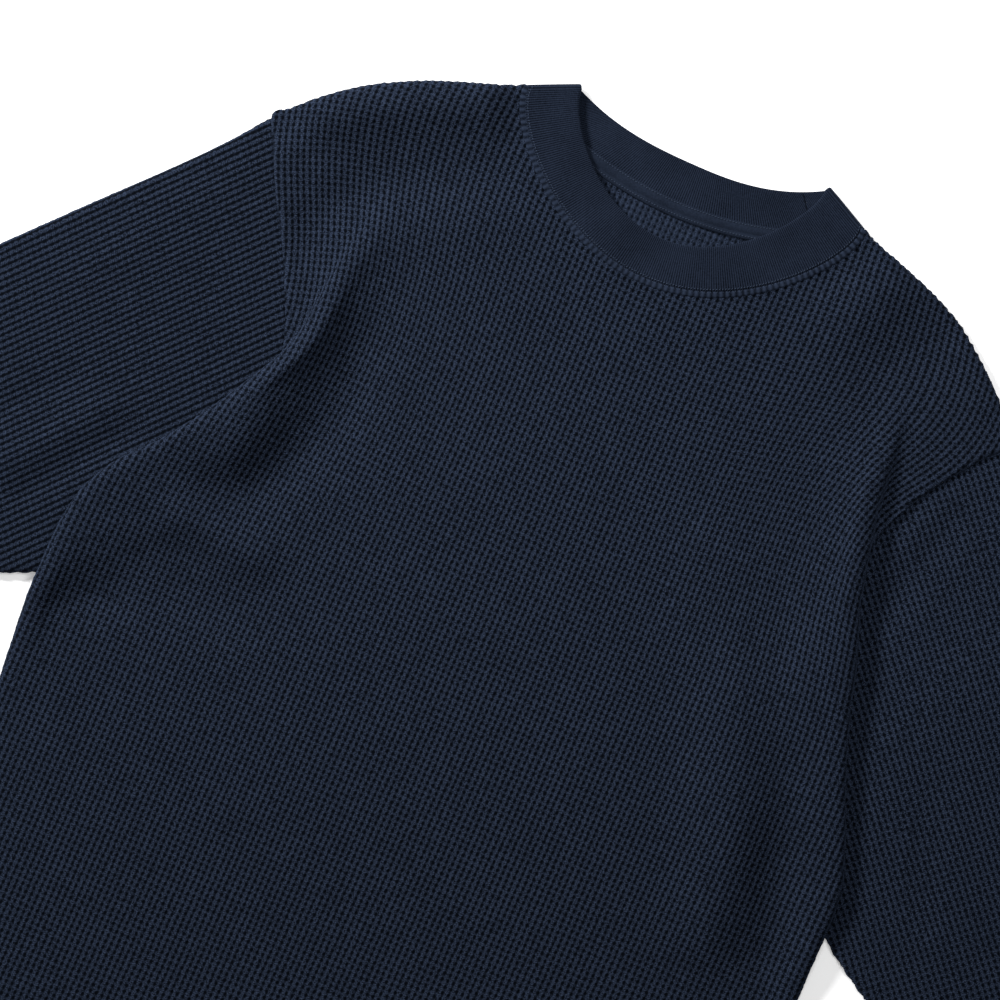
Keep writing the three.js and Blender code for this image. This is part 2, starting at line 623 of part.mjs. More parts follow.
function collar() {
  const step = Math.PI / (2 * NECK_STEPS);
  const foldSteps = 5;
  const edges = [];
  for (let k = 1; k < 2 * NECK_STEPS; k++) edges.push(bandEdges(k * step));
  for (let k = foldSteps; k >= 0; k--) edges.push(foldEdges(-1, (Math.PI * k) / foldSteps));
  for (let k = 1; k < 2 * NECK_STEPS; k++) edges.push(bandEdges(Math.PI + k * step));
  for (let k = 0; k <= foldSteps; k++) edges.push(foldEdges(1, (Math.PI * k) / foldSteps));
  const rings = edges.map(({ seam, top, outward }) =>
    BAND_SECTION.map(([share, level]) =>
      seam.map((start, axis) => mix(start, top[axis], share) + outward[axis] * level * BAND.thick),
    ),
  );
  const count = BAND_SECTION.length;
  const index = [];
  for (let i = 0; i < rings.length; i++)
    for (let j = 0; j < count; j++) {
      const [a, b] = [i * count + j, i * count + ((j + 1) % count)];
      const next = ((i + 1) % rings.length) * count;
      const [c, d] = [next + ((j + 1) % count), next + j];
      index.push(a, b, c, a, c, d);
    }
  const geometry = new THREE.BufferGeometry();
  geometry.setAttribute("position", new THREE.Float32BufferAttribute(rings.flat(2), 3));
  geometry.setIndex(index);
  geometry.computeVertexNormals();
  return geometry;
}

// The tape that covers the back neck seam inside, lying on the band's foot and the back panel.
function neckTape() {
  const steps = 22;
  const onBand = BAND.backZ + BAND.thick / 2 + GAP + TAPE.thick / 2;
  const onBack = WALL + GAP + TAPE.thick / 2;
  const grid = [];
  for (let i = 0; i <= 3; i++) {
    const row = [];
    for (let k = 0; k <= steps; k++) {
      const x = mix(-TAPE.half, TAPE.half, k / steps);
      const seam = backSeamY(sideOf(x), x / BAND.outerHalf);
      row.push([x, seam + TAPE.lap - (TAPE.width * i) / 3, i < 2 ? onBand : onBack]);
    }
    grid.push(row);
  }
  return wall(grid, { thick: TAPE.thick });
}

const knit = () => new THREE.MeshStandardMaterial({ color: 0x1a2536, roughness: 0.95, metalness: 0 });
const rib = () => new THREE.MeshStandardMaterial({ color: 0x172133, roughness: 0.9, metalness: 0 });

const garment = new THREE.Group();
for (const [name, geometry, material] of [
  ["back", back(), knit()],
  ["front", front(), knit()],
  ["sleeve_left", sleeve("left"), knit()],
  ["sleeve_right", sleeve("right"), knit()],
  ["collar", collar(), rib()],
  ["neck_tape", neckTape(), rib()],
]) {
  const mesh = new THREE.Mesh(geometry, material);
  mesh.name = name;
  garment.add(mesh);
}

export default garment;
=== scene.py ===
"""A navy waffle-knit thermal top, laid flat and seen from straight above, turned a little.

Lengths in the tables and helpers are millimetres in the part's frame; meshes are made in metres.
"""
import math

import bpy
import numpy as np
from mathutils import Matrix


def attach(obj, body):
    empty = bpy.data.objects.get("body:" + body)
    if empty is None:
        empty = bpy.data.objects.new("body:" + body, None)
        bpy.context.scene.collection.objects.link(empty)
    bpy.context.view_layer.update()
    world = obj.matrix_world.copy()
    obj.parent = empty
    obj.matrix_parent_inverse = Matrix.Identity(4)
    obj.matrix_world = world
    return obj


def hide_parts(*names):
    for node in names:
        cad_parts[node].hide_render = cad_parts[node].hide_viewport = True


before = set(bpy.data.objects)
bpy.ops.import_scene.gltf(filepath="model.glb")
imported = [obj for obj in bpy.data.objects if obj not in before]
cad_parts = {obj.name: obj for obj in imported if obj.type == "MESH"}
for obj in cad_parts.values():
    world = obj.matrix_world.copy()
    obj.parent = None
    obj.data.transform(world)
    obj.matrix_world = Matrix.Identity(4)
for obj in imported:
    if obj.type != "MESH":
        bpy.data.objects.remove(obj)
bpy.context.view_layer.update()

MM = 0.001
WALL = 2.0  # the cloth's thickness with its waffle
LAYER_GAP = 0.8  # room between one layer's wall and the next
FLOOR_LAYER = 1.15  # the mid-wall height of cloth that lies on the surface
LOFT = 6.0  # the mid-wall height of the front, over the back
ROLL = (LOFT - FLOOR_LAYER) / 2
HEM_Y = -356.0
HEM_DEPTH = 25.0
SLEEVE_LENGTH = 575.0
SLEEVE_LOFT = 5.2
SLEEVE_END_Z = 3.5  # the upper layer's mid-wall height at the armhole
SLEEVE_RISE = 150.0  # how far down the sleeve it takes to its full loft
SLEEVE_ANGLE = math.radians(48.5)
SEAM_LAP = 5.0  # how far the sleeve reaches in under the front
BAND_THICK = 2.8
BAND_OUTER = 111.5
BAND_INNER = 81.3
BAND_FRONT_Z = 6.2
BAND_BACK_Z = 1.5
BAND_SEAM_Y = {"left": 331.0, "right": 334.3}
BAND_TOP_Y = {"left": 345.0, "right": 349.5}
FRONT_LOW = 254.0  # the lowest y of the neck's seam on the front, and of the band's fold
FRONT_INNER_LOW = 281.0
BACK_SEAM_LOW = 305.0  # the same on the back
BACK_TOP_LOW = 331.5
BACK_TOP_CURVE = 2.6
NECK_FADE = 27.0  # over what distance the creases die out beside the collar's seam
TIP_FADE = 26.0  # and beside the shoulder's tip
EDGE_STRIP = 3.0  # the smooth roll beside the collar's seam, which covers the waffle's edge
EDGE_DROP = 1.5  # how far the front's edge dips to the sleeve along the open armhole
TAPE_WIDTH = 10.0
TAPE_LAP = 1.5
TAPE_HALF = 98.0
WALE = 3.83  # across a waffle cell
COURSE = 3.95  # along a waffle cell
PIT = 1.0  # how deep a cell is
RIB_PITCH = 1.35  # from one rib of the collar to the next
UNDER_LAP = 0.8  # how far a sleeve's under layer reaches into its folded edges
UNDER_Z = FLOOR_LAYER - WALL / 2 + 0.05
BACK_NECK_HALF = 95.0  # half the width of the raised cells inside the back neck
BACK_NECK_LOW = 262.0
TIP_INSET = 14.0  # how far inside the shoulder's tip the back's corner is
TURN = math.radians(24)  # of the picture, about the line of sight
UP = np.array([0.0, 0.0, 1.0])
rng = np.random.default_rng(11)


def table(columns, *rows):
    """A short table, given row by row: each column's name to its numbers."""
    return {name: np.array([row[i] for row in rows], float) for i, name in enumerate(columns.split())}


SIDE_SIGN = {"left": -1.0, "right": 1.0}
TIPS = {"left": (250.0, 254.0), "right": (255.0, 258.0)}
SHOULDERS = {
    "left": table(
        "x y",
        (111.5, 334), (130, 327), (152, 319), (174, 310), (195, 299), (209, 290), (224, 278), (245, 259),
        (251, 253), (262, 240),
    ),
    "right": table(
        "x y",
        (111.5, 337.6), (125, 333), (149, 325.3), (173, 317), (190, 309), (210, 294.6), (230, 277.4),
        (247, 263.6), (256, 257), (268, 243),
    ),
}
ARMHOLES = {
    "left": table(
        "x y",
        (250, 254), (232, 217), (210, 179), (195, 150), (184, 122), (178, 92), (183, 52), (202, 12),
        (224, -19), (246, -43), (264, -60),
    ),
    "right": table(
        "x y",
        (255, 258), (234, 232), (218, 208), (205, 185), (197, 160), (190, 130), (187, 95), (191, 50),
        (206, 5), (228, -29), (249, -54), (264.6, -69),
    ),
}
# The front's sections, from the shoulder to the hem: where its cloth folds and how high, a point
# under the fold, and where it ends at the armhole or the side.
SECTIONS = {
    "left": table(
        "y fold crest underX underZ end endZ",
        (256, 166, 6.3, 205, 6, 250, 6),
        (232, 167, 7.2, 200, 5.8, 239, 6),
        (210, 170, 8.9, 196, 5.8, 228, 6),
        (185, 174, 11.1, 190, 5.8, 213, 6),
        (160, 176.5, 13.5, 185, 5.9, 200, 6.1),
        (138, 178.6, 15.3, 180, 7.2, 190, 6),
        (124, 182.5, 15.9, 182.8, 8.2, 184.5, 6),
        (111, 188.5, 16.4, 186, 7.7, 181, 6.9),
        (98, 195.5, 16.5, 190, 7.4, 179, 7.3),
        (80, 205.5, 16.5, 197, 7.4, 178.5, 7.3),
        (45, 228, 16.5, 214, 7.4, 186, 7.3),
        (16, 252, 16.2, 234, 7.4, 200, 7.3),
        (-11, 264, 15.6, 248, 7.4, 217, 7.3),
        (-35, 266.5, 15, 253, 7.4, 235, 7.3),
        (-55, 266.8, 14.1, 257, 7.2, 249, 7),
        (-73, 266.7, 12.6, 260, 6.6, 256, 6.2),
        (-98, 265.5, 9, 262, 1.15, 261, 1.15),
        (-140, 262, 6.6, 260, 1.15, 257.5, 1.15),
        (-250, 264, 6, 262, 1.15, 259.5, 1.15),
        (-356, 265, 6, 263, 1.15, 260.5, 1.15),
    ),
    "right": table(
        "y fold crest underX underZ end endZ",
        (258, 183, 6.3, 220, 6, 255, 6),
        (240, 184, 7.5, 214, 5.8, 240, 6),
        (222, 186, 9.9, 204, 5.7, 227, 6),
        (204, 188, 12.6, 196, 5.8, 215, 6),
        (186, 189.5, 14.7, 193, 6, 205.5, 6.1),
        (168, 193.6, 16, 195, 7.2, 199, 6),
        (155, 196.3, 16.4, 196, 8.2, 196, 6),
        (142, 199.5, 16.5, 196.5, 7.6, 192.5, 6.8),
        (125, 204, 16.5, 198, 7.4, 189.5, 7.3),
        (97, 214.5, 16.5, 204, 7.4, 188, 7.3),
        (60, 226, 16.2, 212, 7.4, 190, 7.3),
        (20, 241, 15.9, 224, 7.4, 201, 7.3),
        (-15, 256, 15.3, 238, 7.4, 217, 7.3),
        (-45, 266, 14.7, 252, 7.4, 237, 7.3),
        (-65, 267.4, 13.8, 257, 7.2, 249, 7),
        (-84, 267.8, 12.3, 260.5, 6.6, 256.5, 6.2),
        (-110, 269, 9, 265.5, 1.15, 264.5, 1.15),
        (-150, 268.5, 6.6, 266.5, 1.15, 264, 1.15),
        (-250, 268, 6, 266, 1.15, 263.5, 1.15),
        (-356, 267, 6, 265, 1.15, 262.5, 1.15),
    ),
}
# A sleeve's two edges, by the distance down it from the shoulder's tip.
SLEEVES = {
    "left": table(
        "along high low",
        (-20, 0.5, 212), (10, 1.6, 212), (27, 3.6, 212), (60, 4.2, 212), (150, 3.4, 212), (187, 3, 210),
        (220, 3, 205.5), (245, 3, 199.8), (271, 3, 189), (300, 3, 178), (400, 4, 149), (500, 6, 126),
        (575, 6, 115),
    ),
    "right": table(
        "along high low",
        (-20, 0.5, 222), (10, 1.6, 222), (60, 4.5, 222), (157, 4, 222), (197, 3, 221), (231, 3, 217),
        (255, 3, 209.8), (275, 3, 205), (297, 3, 198.2), (345, 4, 182), (400, 5, 161), (500, 6, 130),
        (575, 6, 117),
    ),
}
# Ridges (+) and troughs (-): a line between two points, a half width and a height.
FRONT_CREASES = table(
    "x0 y0 x1 y1 half height",
    # The left shoulder: high along its edge, with a trough inside it that bends down to the underarm.
    (-104, 326, -178, 292, 18, 7.4),
    (-178, 292, -230, 260, 18, 7.6),
    (-240, 262, -228, 204, 13, 2.4),
    (-88, 284, -152, 256, 17, -3.1),
    (-152, 256, -187, 230, 17, -3.3),
    (-187, 230, -200, 202, 15, -3.3),
    (-200, 202, -196, 174, 12, -2.4),
    (-96, 246, -150, 218, 20, 2.2),
    (-150, 218, -168, 178, 15, 2.0),
    # Beside the left fold: its crest, the drop from it, and a dent lower down.
    (-164, 176, -172, 110, 15, 3.8),
    (-172, 110, -190, 48, 17, 4.6),
    (-140, 158, -134, 106, 17, -2.8),
    (-134, 106, -158, 40, 17, -3.2),
    (-158, 40, -200, 26, 14, -2.2),
    (-138, -2, -206, 6, 15, 5.0),
    (-132, -40, -196, -42, 17, -2.4),
    (-206, -58, -256, -76, 12, -2.0),
    # The right shoulder, and the front beside the right fold.
    (120, 272, 150, 326, 20, 4.6),
    (158, 254, 192, 304, 20, -2.6),
    (198, 300, 232, 268, 16, 2.0),
    (166, 206, 200, 54, 18, 2.0),
    (104, 126, 146, 60, 26, 2.2),
    (146, 60, 176, -2, 26, 7.4),
    (176, -2, 196, -60, 26, 8.6),
    (196, -60, 204, -112, 23, 5.4),
    (202, 26, 221, -26, 16, -2.6),
    (221, -26, 236, -64, 19, -4.8),
    (236, -64, 244, -108, 17, -3.6),
)
SLEEVE_CREASES = {
    "left": table(
        "x0 y0 x1 y1 half height",
        (160, 142, 244, 151, 8, -1.5),
        (160, 121, 250, 131, 9, 1.5),
        (174, 97, 262, 98, 11, -1.3),
        (20, 24, 150, 40, 18, 0.9),
        (330, 40, 430, 108, 15, -1.4),
    ),
    "right": table(
        "x0 y0 x1 y1 half height",
        (30, 46, 78, 114, 10, -1.2),
        (10, 52, 54, 120, 12, 1.6),
        (190, 120, 270, 148, 12, -1.2),
        (340, 44, 440, 104, 15, -1.4),
    ),
}
# How the grain swings round towards each armhole: the swing's centre, its reach and its angle.
SWIRLS = table("x y reach degrees", (-222, 215, 110, 24), (225, 200, 85, -29))


def mix(a, b, t):
    """From a at t = 0 to b at t = 1."""
    return a + (b - a) * t


def ease(t):
    """0 up to t = 0, 1 from t = 1, and smooth between."""
    t = np.clip(t, 0, 1)
    return t * t * (3 - 2 * t)


def read(rows, by, column, at):
    """A smooth curve through a table's column, by another column that rises or falls steadily."""
    order = np.argsort(rows[by])
    x, y = rows[by][order], rows[column][order]
    step = np.diff(y) / np.diff(x)
    slope = np.zeros_like(y)
    before, after = step[:-1], step[1:]
    both = before * after > 0
    slope[1:-1][both] = 2 * before[both] * after[both] / (before[both] + after[both])
    at = np.clip(at, x[0], x[-1])
    i = np.clip(np.searchsorted(x, at, side="right") - 1, 0, len(x) - 2)
    span = x[i + 1] - x[i]
    t = (at - x[i]) / span
    return (
        y[i] * (2 * t**3 - 3 * t**2 + 1)
        + slope[i] * span * (t**3 - 2 * t**2 + t)
        + y[i + 1] * (3 * t**2 - 2 * t**3)
        + slope[i + 1] * span * (t**3 - t**2)
    )


def creased(rows, x, y):
    """The height of a table's ridges and troughs. Two that meet end to end run on into each other."""
    height = np.zeros(np.broadcast(x, y).shape)
    for x0, y0, x1, y1, half, tall in zip(*rows.values()):
        length = math.hypot(x1 - x0, y1 - y0)
        across, up = (x1 - x0) / length, (y1 - y0) / length
        along, aside = (x - x0) * across + (y - y0) * up, (x - x0) * up - (y - y0) * across
        ends = np.tanh(1.3 * along / half) - np.tanh(1.3 * (along - length) / half)
        height = height + 0.5 * tall * ends * np.exp(-((aside / half) ** 2))
    return height


def run_length(path):
    """The distance along a path at each of its points."""
    return np.concatenate([[0], np.cumsum(np.linalg.norm(np.diff(path, axis=0), axis=-1))])


def unit(vectors):
    return vectors / np.linalg.norm(vectors, axis=-1, keepdims=True)


def points(*parts):
    """One array of points, or of quads, from their separate numbers."""
    return np.stack(np.broadcast_arrays(*parts), axis=-1)


def scoop(share):
    """The front neck's curve: 0 in the middle, 1 at either shoulder."""
    t = np.clip(np.abs(share), 0, 1)
    return 0.5 * t * t + 0.5 * (1 - np.sqrt(1 - t * t))


def by_side(x, left, right):
    """One value left of the middle, another right of it."""
    return np.where(x < 0, left, right)


def front_seam(x):
    """The y of the front neck's seam at x."""
    return mix(FRONT_LOW, by_side(x, *BAND_SEAM_Y.values()), scoop(x / BAND_OUTER))


def back_seam(x):
    """The y of the back neck's seam at x."""
    return mix(BACK_SEAM_LOW, by_side(x, *BAND_SEAM_Y.values()), (x / BAND_OUTER) ** 2)


def neck_room(x, y):
    """How far outside the front neck's seam a point is, from its distances to it across and along."""
    shares = np.linspace(0, 1, 400)
    rise = (y - FRONT_LOW) / (by_side(x, *BAND_SEAM_Y.values()) - FRONT_LOW)
    across = np.abs(x) - BAND_OUTER * np.interp(rise, scoop(shares), shares)
    along = np.where(np.abs(x) < BAND_OUTER, front_seam(x) - y, 1e4)
    across = np.where(rise < 0, 1e4, across)
    inside = (across > 0) & (along > 0)
    both = np.abs(across * along) / np.hypot(across, along).clip(1e-9)
    return np.where(inside, both, -both)


def spline_basis(count, steps):
    """Weights of a uniform cubic spline through padded control points."""
    spans = count + 1
    at = np.minimum(np.linspace(0, 1, steps) * spans, spans - 1e-9)
    i = at.astype(int)
    t = at - i
    basis = np.zeros((steps, count + 4))
    parts = (
        (1 - t) ** 3 / 6,
        (3 * t**3 - 6 * t**2 + 4) / 6,
        (-3 * t**3 + 3 * t**2 + 3 * t + 1) / 6,
        t**3 / 6,
    )
    for k, part in enumerate(parts):
        basis[np.arange(steps), i + k] += part
    folded = basis[:, 2:-2].copy()
    folded[:, 0] += basis[:, 0] + basis[:, 1]
    folded[:, -1] += basis[:, -1] + basis[:, -2]
    return folded


class Sections:
    """The front's mid-wall surface on one side, by distance along each section and by y."""

    STEP = 0.5

    def __init__(self, side):
        rows = SECTIONS[side]
        self.ys = np.arange(HEM_Y, 262.0, 1.0)
        names = ("fold", "crest", "underX", "underZ", "end", "endZ")
        fold, crest, under_x, under_z, end, end_z = (read(rows, "y", name, self.ys) for name in names)
        under = np.clip((fold - end) / 12, 0, 1)
        over = np.minimum(end, fold - 14)
        clear = np.maximum(under_z, end_z) + WALL + LAYER_GAP
        high = np.maximum(mix(LOFT, crest, 0.3), mix(LOFT, clear, under))
        nose = fold - WALL / 2 + 0.9
        loft = np.full_like(fold, LOFT)
        control = [
            (0 * fold, loft),
            ((over - 36) * 0.5, loft),
            (over - 36, loft),
            (over - 20, mix(LOFT, high, 0.25)),
            (over - 5, high),
            (mix(over, fold - 12, 0.5), mix(high, crest, 0.6)),
            (fold - 10, crest),
            (nose, crest),
            (nose, under_z),
            (under_x, under_z),
            (mix(under_x, end, 0.5), mix(under_z, end_z, 0.5)),
            (end, end_z),
        ]
        basis = spline_basis(len(control), 361)
        x = np.array([c[0] for c in control]).T @ basis.T
        z = np.array([c[1] for c in control]).T @ basis.T
        steps = np.cumsum(np.hypot(np.diff(x), np.diff(z)), axis=1)
        lengths = np.concatenate([np.zeros((len(x), 1)), steps], axis=1)
        self.total = lengths[:, -1]
        count = int(self.total.max() / self.STEP) + 4
        grid = np.arange(count) * self.STEP
        self.x = np.array([np.interp(grid, length, row) for length, row in zip(lengths, x)])
        self.z = np.array([np.interp(grid, length, row) for length, row in zip(lengths, z)])
        half_down = mix(crest, under_z, 0.5)[:, None]
        falling = (z < half_down) & (np.arange(x.shape[1]) > 0.6 * x.shape[1])
        self.nose = lengths[np.arange(len(x)), falling.argmax(axis=1)]
        self.shelf = end > fold + 20
        self.open = np.clip((under_x - fold) / 12, 0, 1)

    def row(self, y):
        """The section before y, and how far y is on the way to the next."""
        at = np.clip(y - self.ys[0], 0, len(self.ys) - 1.001)
        return at.astype(int), at - at.astype(int)

    def along_y(self, values, y):
        i, t = self.row(y)
        return mix(values[i].astype(float), values[i + 1].astype(float), t)

    def place(self, s, y):
        """x and z at a distance along the section, and how much of the creases shows there."""
        i, t = self.row(y)
        at = np.clip(s / self.STEP, 0, self.x.shape[1] - 1.001)
        j = at.astype(int)
        u = at - j
        x, z = (
            mix(mix(v[i, j], v[i, j + 1], u), mix(v[i + 1, j], v[i + 1, j + 1], u), t)
            for v in (self.x, self.z)
        )
        nose = self.along_y(self.nose, y)
        shelf = self.along_y(self.shelf, y) * ease((s - nose - 6) / 10)
        top = np.maximum(np.maximum(1 - ease((s - nose + 14) / 12), shelf), self.along_y(self.open, y))
        last = np.clip(1 - (self.along_y(self.total, y) - s) / 4.5, 0, 1)
        return x, z - EDGE_DROP * last**2 * self.along_y(self.shelf, y), top


sections = {side: Sections(side) for side in SIDE_SIGN}


def front_top(x):
    """The y of the front's upper edge at x: the neckline, then the shoulder."""
    away = np.abs(x)
    shoulder = by_side(x, *(read(SHOULDERS[side], "x", "y", away) for side in SIDE_SIGN))
    return np.where(away < BAND_OUTER, front_seam(x), shoulder)


def front_relief(x, y):
    """The creases' height on the front. They fade out at the collar's seam and at the shoulder's tip."""
    y = np.minimum(y, front_top(x) - 3.5)
    tip = np.hypot(np.abs(x) - by_side(x, TIPS["left"][0], TIPS["right"][0]), y - TIPS["left"][1])
    free = ease((neck_room(x, y) - 2) / NECK_FADE) * ease((tip - 6) / TIP_FADE)
    return creased(FRONT_CREASES, x, y) * free


def roll_radius(x):
    """The radius of the shoulder's rolled edge, which is larger where the cloth is lifted."""
    return ROLL + np.maximum(front_relief(x, front_top(x)), -0.8) / 2


def shoulder_steep(x):
    """How many times farther the shoulder's sloping edge is in y than by the shortest way."""
    slope = np.where(np.abs(x) > BAND_OUTER + 1, front_top(x + 1) - front_top(x - 1), 0) / 2
    return np.hypot(1, slope)


def shoulder_turn(x):
    """1 where the shoulder's edge rolls under, 0 beside the collar and at the armhole."""
    tip = by_side(x, TIPS["left"][0], TIPS["right"][0]) - np.abs(x)
    return ease(1.4 * np.clip(np.minimum((np.abs(x) - BAND_OUTER) / 7, tip / 10), 0, 1))


def front_mid(s, y):
    """A point of the front's mid-wall surface, at a signed distance along its section."""
    ys = np.minimum(y, 258.0)
    left = sections["left"].place(np.abs(s), ys)
    right = sections["right"].place(np.abs(s), ys)
    x, z, top = (by_side(s, a, b) for a, b in zip(left, right))
    x = x * np.where(s < 0, -1, 1)
    z = z + front_relief(x, y) * top
    steep = shoulder_steep(x)
    radius = roll_radius(x)
    start = front_top(x) - (radius + WALL / 2) * steep
    past = np.clip((y - start) / steep, 0, math.pi * radius)
    turned = shoulder_turn(x)
    y = np.where(past > 0, mix(y, start + radius * np.sin(past / radius) * steep, turned), y)
    z = z - turned * (radius - radius * np.cos(past / radius))
    return points(x, y, z)


def front_room(s, y):
    """How far inside the front's cloth a point is. It stops short of the smooth roll at the collar."""
    total = by_side(s, sections["left"].along_y(sections["left"].total, np.minimum(y, 256)),
                    sections["right"].along_y(sections["right"].total, np.minimum(y, 258)))
    x = front_mid(s, np.minimum(y, 300))[..., 0]
    steep = shoulder_steep(x)
    rolled = math.pi * roll_radius(x) - roll_radius(x) - WALL / 2
    shoulder_room = (front_top(x) - y) / steep + shoulder_turn(x) * rolled
    shoulder_room = np.where(np.abs(x) > BAND_OUTER, shoulder_room, 99)
    top_room = np.minimum(neck_room(x, y) - EDGE_STRIP, shoulder_room)
    return np.minimum(np.minimum(total - 0.4 - np.abs(s), y - HEM_Y), top_room)


def swirl(x, y):
    """The front's grain, swung round beside the armholes."""
    for cx, cy, reach, degrees in zip(*SWIRLS.values()):
        dx, dy = x - cx, y - cy
        angle = np.radians(degrees) * np.exp(-(dx * dx + dy * dy) / reach**2)
        x, y = cx + dx * np.cos(angle) - dy * np.sin(angle), cy + dx * np.sin(angle) + dy * np.cos(angle)
    return x, y


def sleeve_axes(side):
    """From a sleeve's distances along and across it to the plan's x and y, and back."""
    sign = SIDE_SIGN[side]
    cos, sin = math.cos(SLEEVE_ANGLE), math.sin(SLEEVE_ANGLE)
    tip_x, tip_y = TIPS[side]

    def place(along, across):
        return sign * (tip_x + along * cos - across * sin), tip_y - along * sin - across * cos

    def measure(x, y):
        return (x - tip_x) * cos - (y - tip_y) * sin, -(x - tip_x) * sin - (y - tip_y) * cos

    return place, measure


def layer_edges(side, along, height):
    """Where a sleeve's upper layer begins to turn under at its two edges."""
    room = WALL / 2 + (height - FLOOR_LAYER) / 2
    high, low = (read(SLEEVES[side], "along", name, along) for name in ("high", "low"))
    return high + room, low - room


def seam_rows(side):
    """The sleeve's seam in its own directions: the distances along and across."""
    rows = ARMHOLES[side]
    at = np.concatenate([[0], np.cumsum(np.hypot(np.diff(rows["x"]), np.diff(rows["y"])))])
    share = np.linspace(0, 1, 200)
    both = {"at": at, **rows}
    lap = SEAM_LAP * (1 - ease((share - 0.8) / 0.2))
    x = read(both, "at", "x", share * at[-1]) - lap
    y = read(both, "at", "y", share * at[-1])
    return sleeve_axes(side)[1](x, y)


class Sleeve:
    """A sleeve's mid-wall surface, by the distance down it and the distance round it."""

    def __init__(self, side):
        self.side = side
        self.place_plan = sleeve_axes(side)[0]
        self.seam_along, self.seam_across = seam_rows(side)
        self.low_seam = self.seam_across.max()

    def start(self, across):
        """Where the sleeve begins. Beyond the seam's lowest point that is at the armpit."""
        upto = self.seam_across.argmax() + 1
        return np.interp(across, self.seam_across[:upto], self.seam_along[:upto])

    def height(self, along, across):
        return mix(SLEEVE_END_Z, SLEEVE_LOFT, ease((along - self.start(across)) / SLEEVE_RISE))

    def mid(self, along, round_):
        """round_ runs over the upper layer, then on round the edges."""
        height = self.height(along, np.clip(round_, 0, self.low_seam))
        radius = (height - FLOOR_LAYER) / 2
        start, stop = layer_edges(self.side, along, height)
        over_low, over_high = np.clip(round_ - stop, 0, None), np.clip(start - round_, 0, None)
        turn = np.clip(np.maximum(over_low, over_high) / radius, 0, math.pi)
        across = np.clip(round_, start, stop)
        inside = np.clip(np.minimum(across - start, stop - across) / 25, 0, 1)
        free = ease((along - self.start(np.clip(across, 0, self.low_seam)) - 6) / 24)
        bump = creased(SLEEVE_CREASES[self.side], along, across) * inside * free * (turn <= 0)
        across = across + np.where(over_low > 0, 1, -1) * radius * np.sin(turn)
        z = FLOOR_LAYER + radius + radius * np.cos(turn) + bump
        x, y = self.place_plan(along, across)
        return points(x, y, z)

    def room(self, along, round_):
        height = self.height(along, np.clip(round_, 0, self.low_seam))
        radius = (height - FLOOR_LAYER) / 2
        start, stop = layer_edges(self.side, along, height)
        inside = np.minimum(round_ - start, stop - round_) + math.pi * radius
        at_seam = (along - self.start(np.clip(round_, start, stop))) * 0.9
        return np.minimum(np.minimum(inside, SLEEVE_LENGTH - along), at_seam)


def normals_of(grid):
    across = np.gradient(grid, axis=1)
    down = np.gradient(grid, axis=0)
    normal = np.cross(across, down)
    length = np.linalg.norm(normal, axis=-1, keepdims=True)
    return normal / np.maximum(length, 1e-9)


def grid_quads(index):
    """The quads between the vertex numbers of a grid."""
    corners = [index[:-1, :-1], index[:-1, 1:], index[1:, 1:], index[1:, :-1]]
    return np.stack(corners, axis=-1).reshape(-1, 4)


def make_object(name, verts, faces, uv=None):
    mesh = bpy.data.meshes.new(name)
    mesh.from_pydata((np.asarray(verts) * MM).tolist(), [], [tuple(int(i) for i in f) for f in faces])
    mesh.polygons.foreach_set("use_smooth", [True] * len(mesh.polygons))
    if uv is not None:
        loops = np.zeros(len(mesh.loops), dtype=int)
        mesh.loops.foreach_get("vertex_index", loops)
        layer = mesh.uv_layers.new(name="UVMap")
        layer.data.foreach_set("uv", np.asarray(uv)[loops].astype(np.float32).ravel())
    mesh.update()
    obj = bpy.data.objects.new(name, mesh)
    bpy.context.scene.collection.objects.link(obj)
    return obj


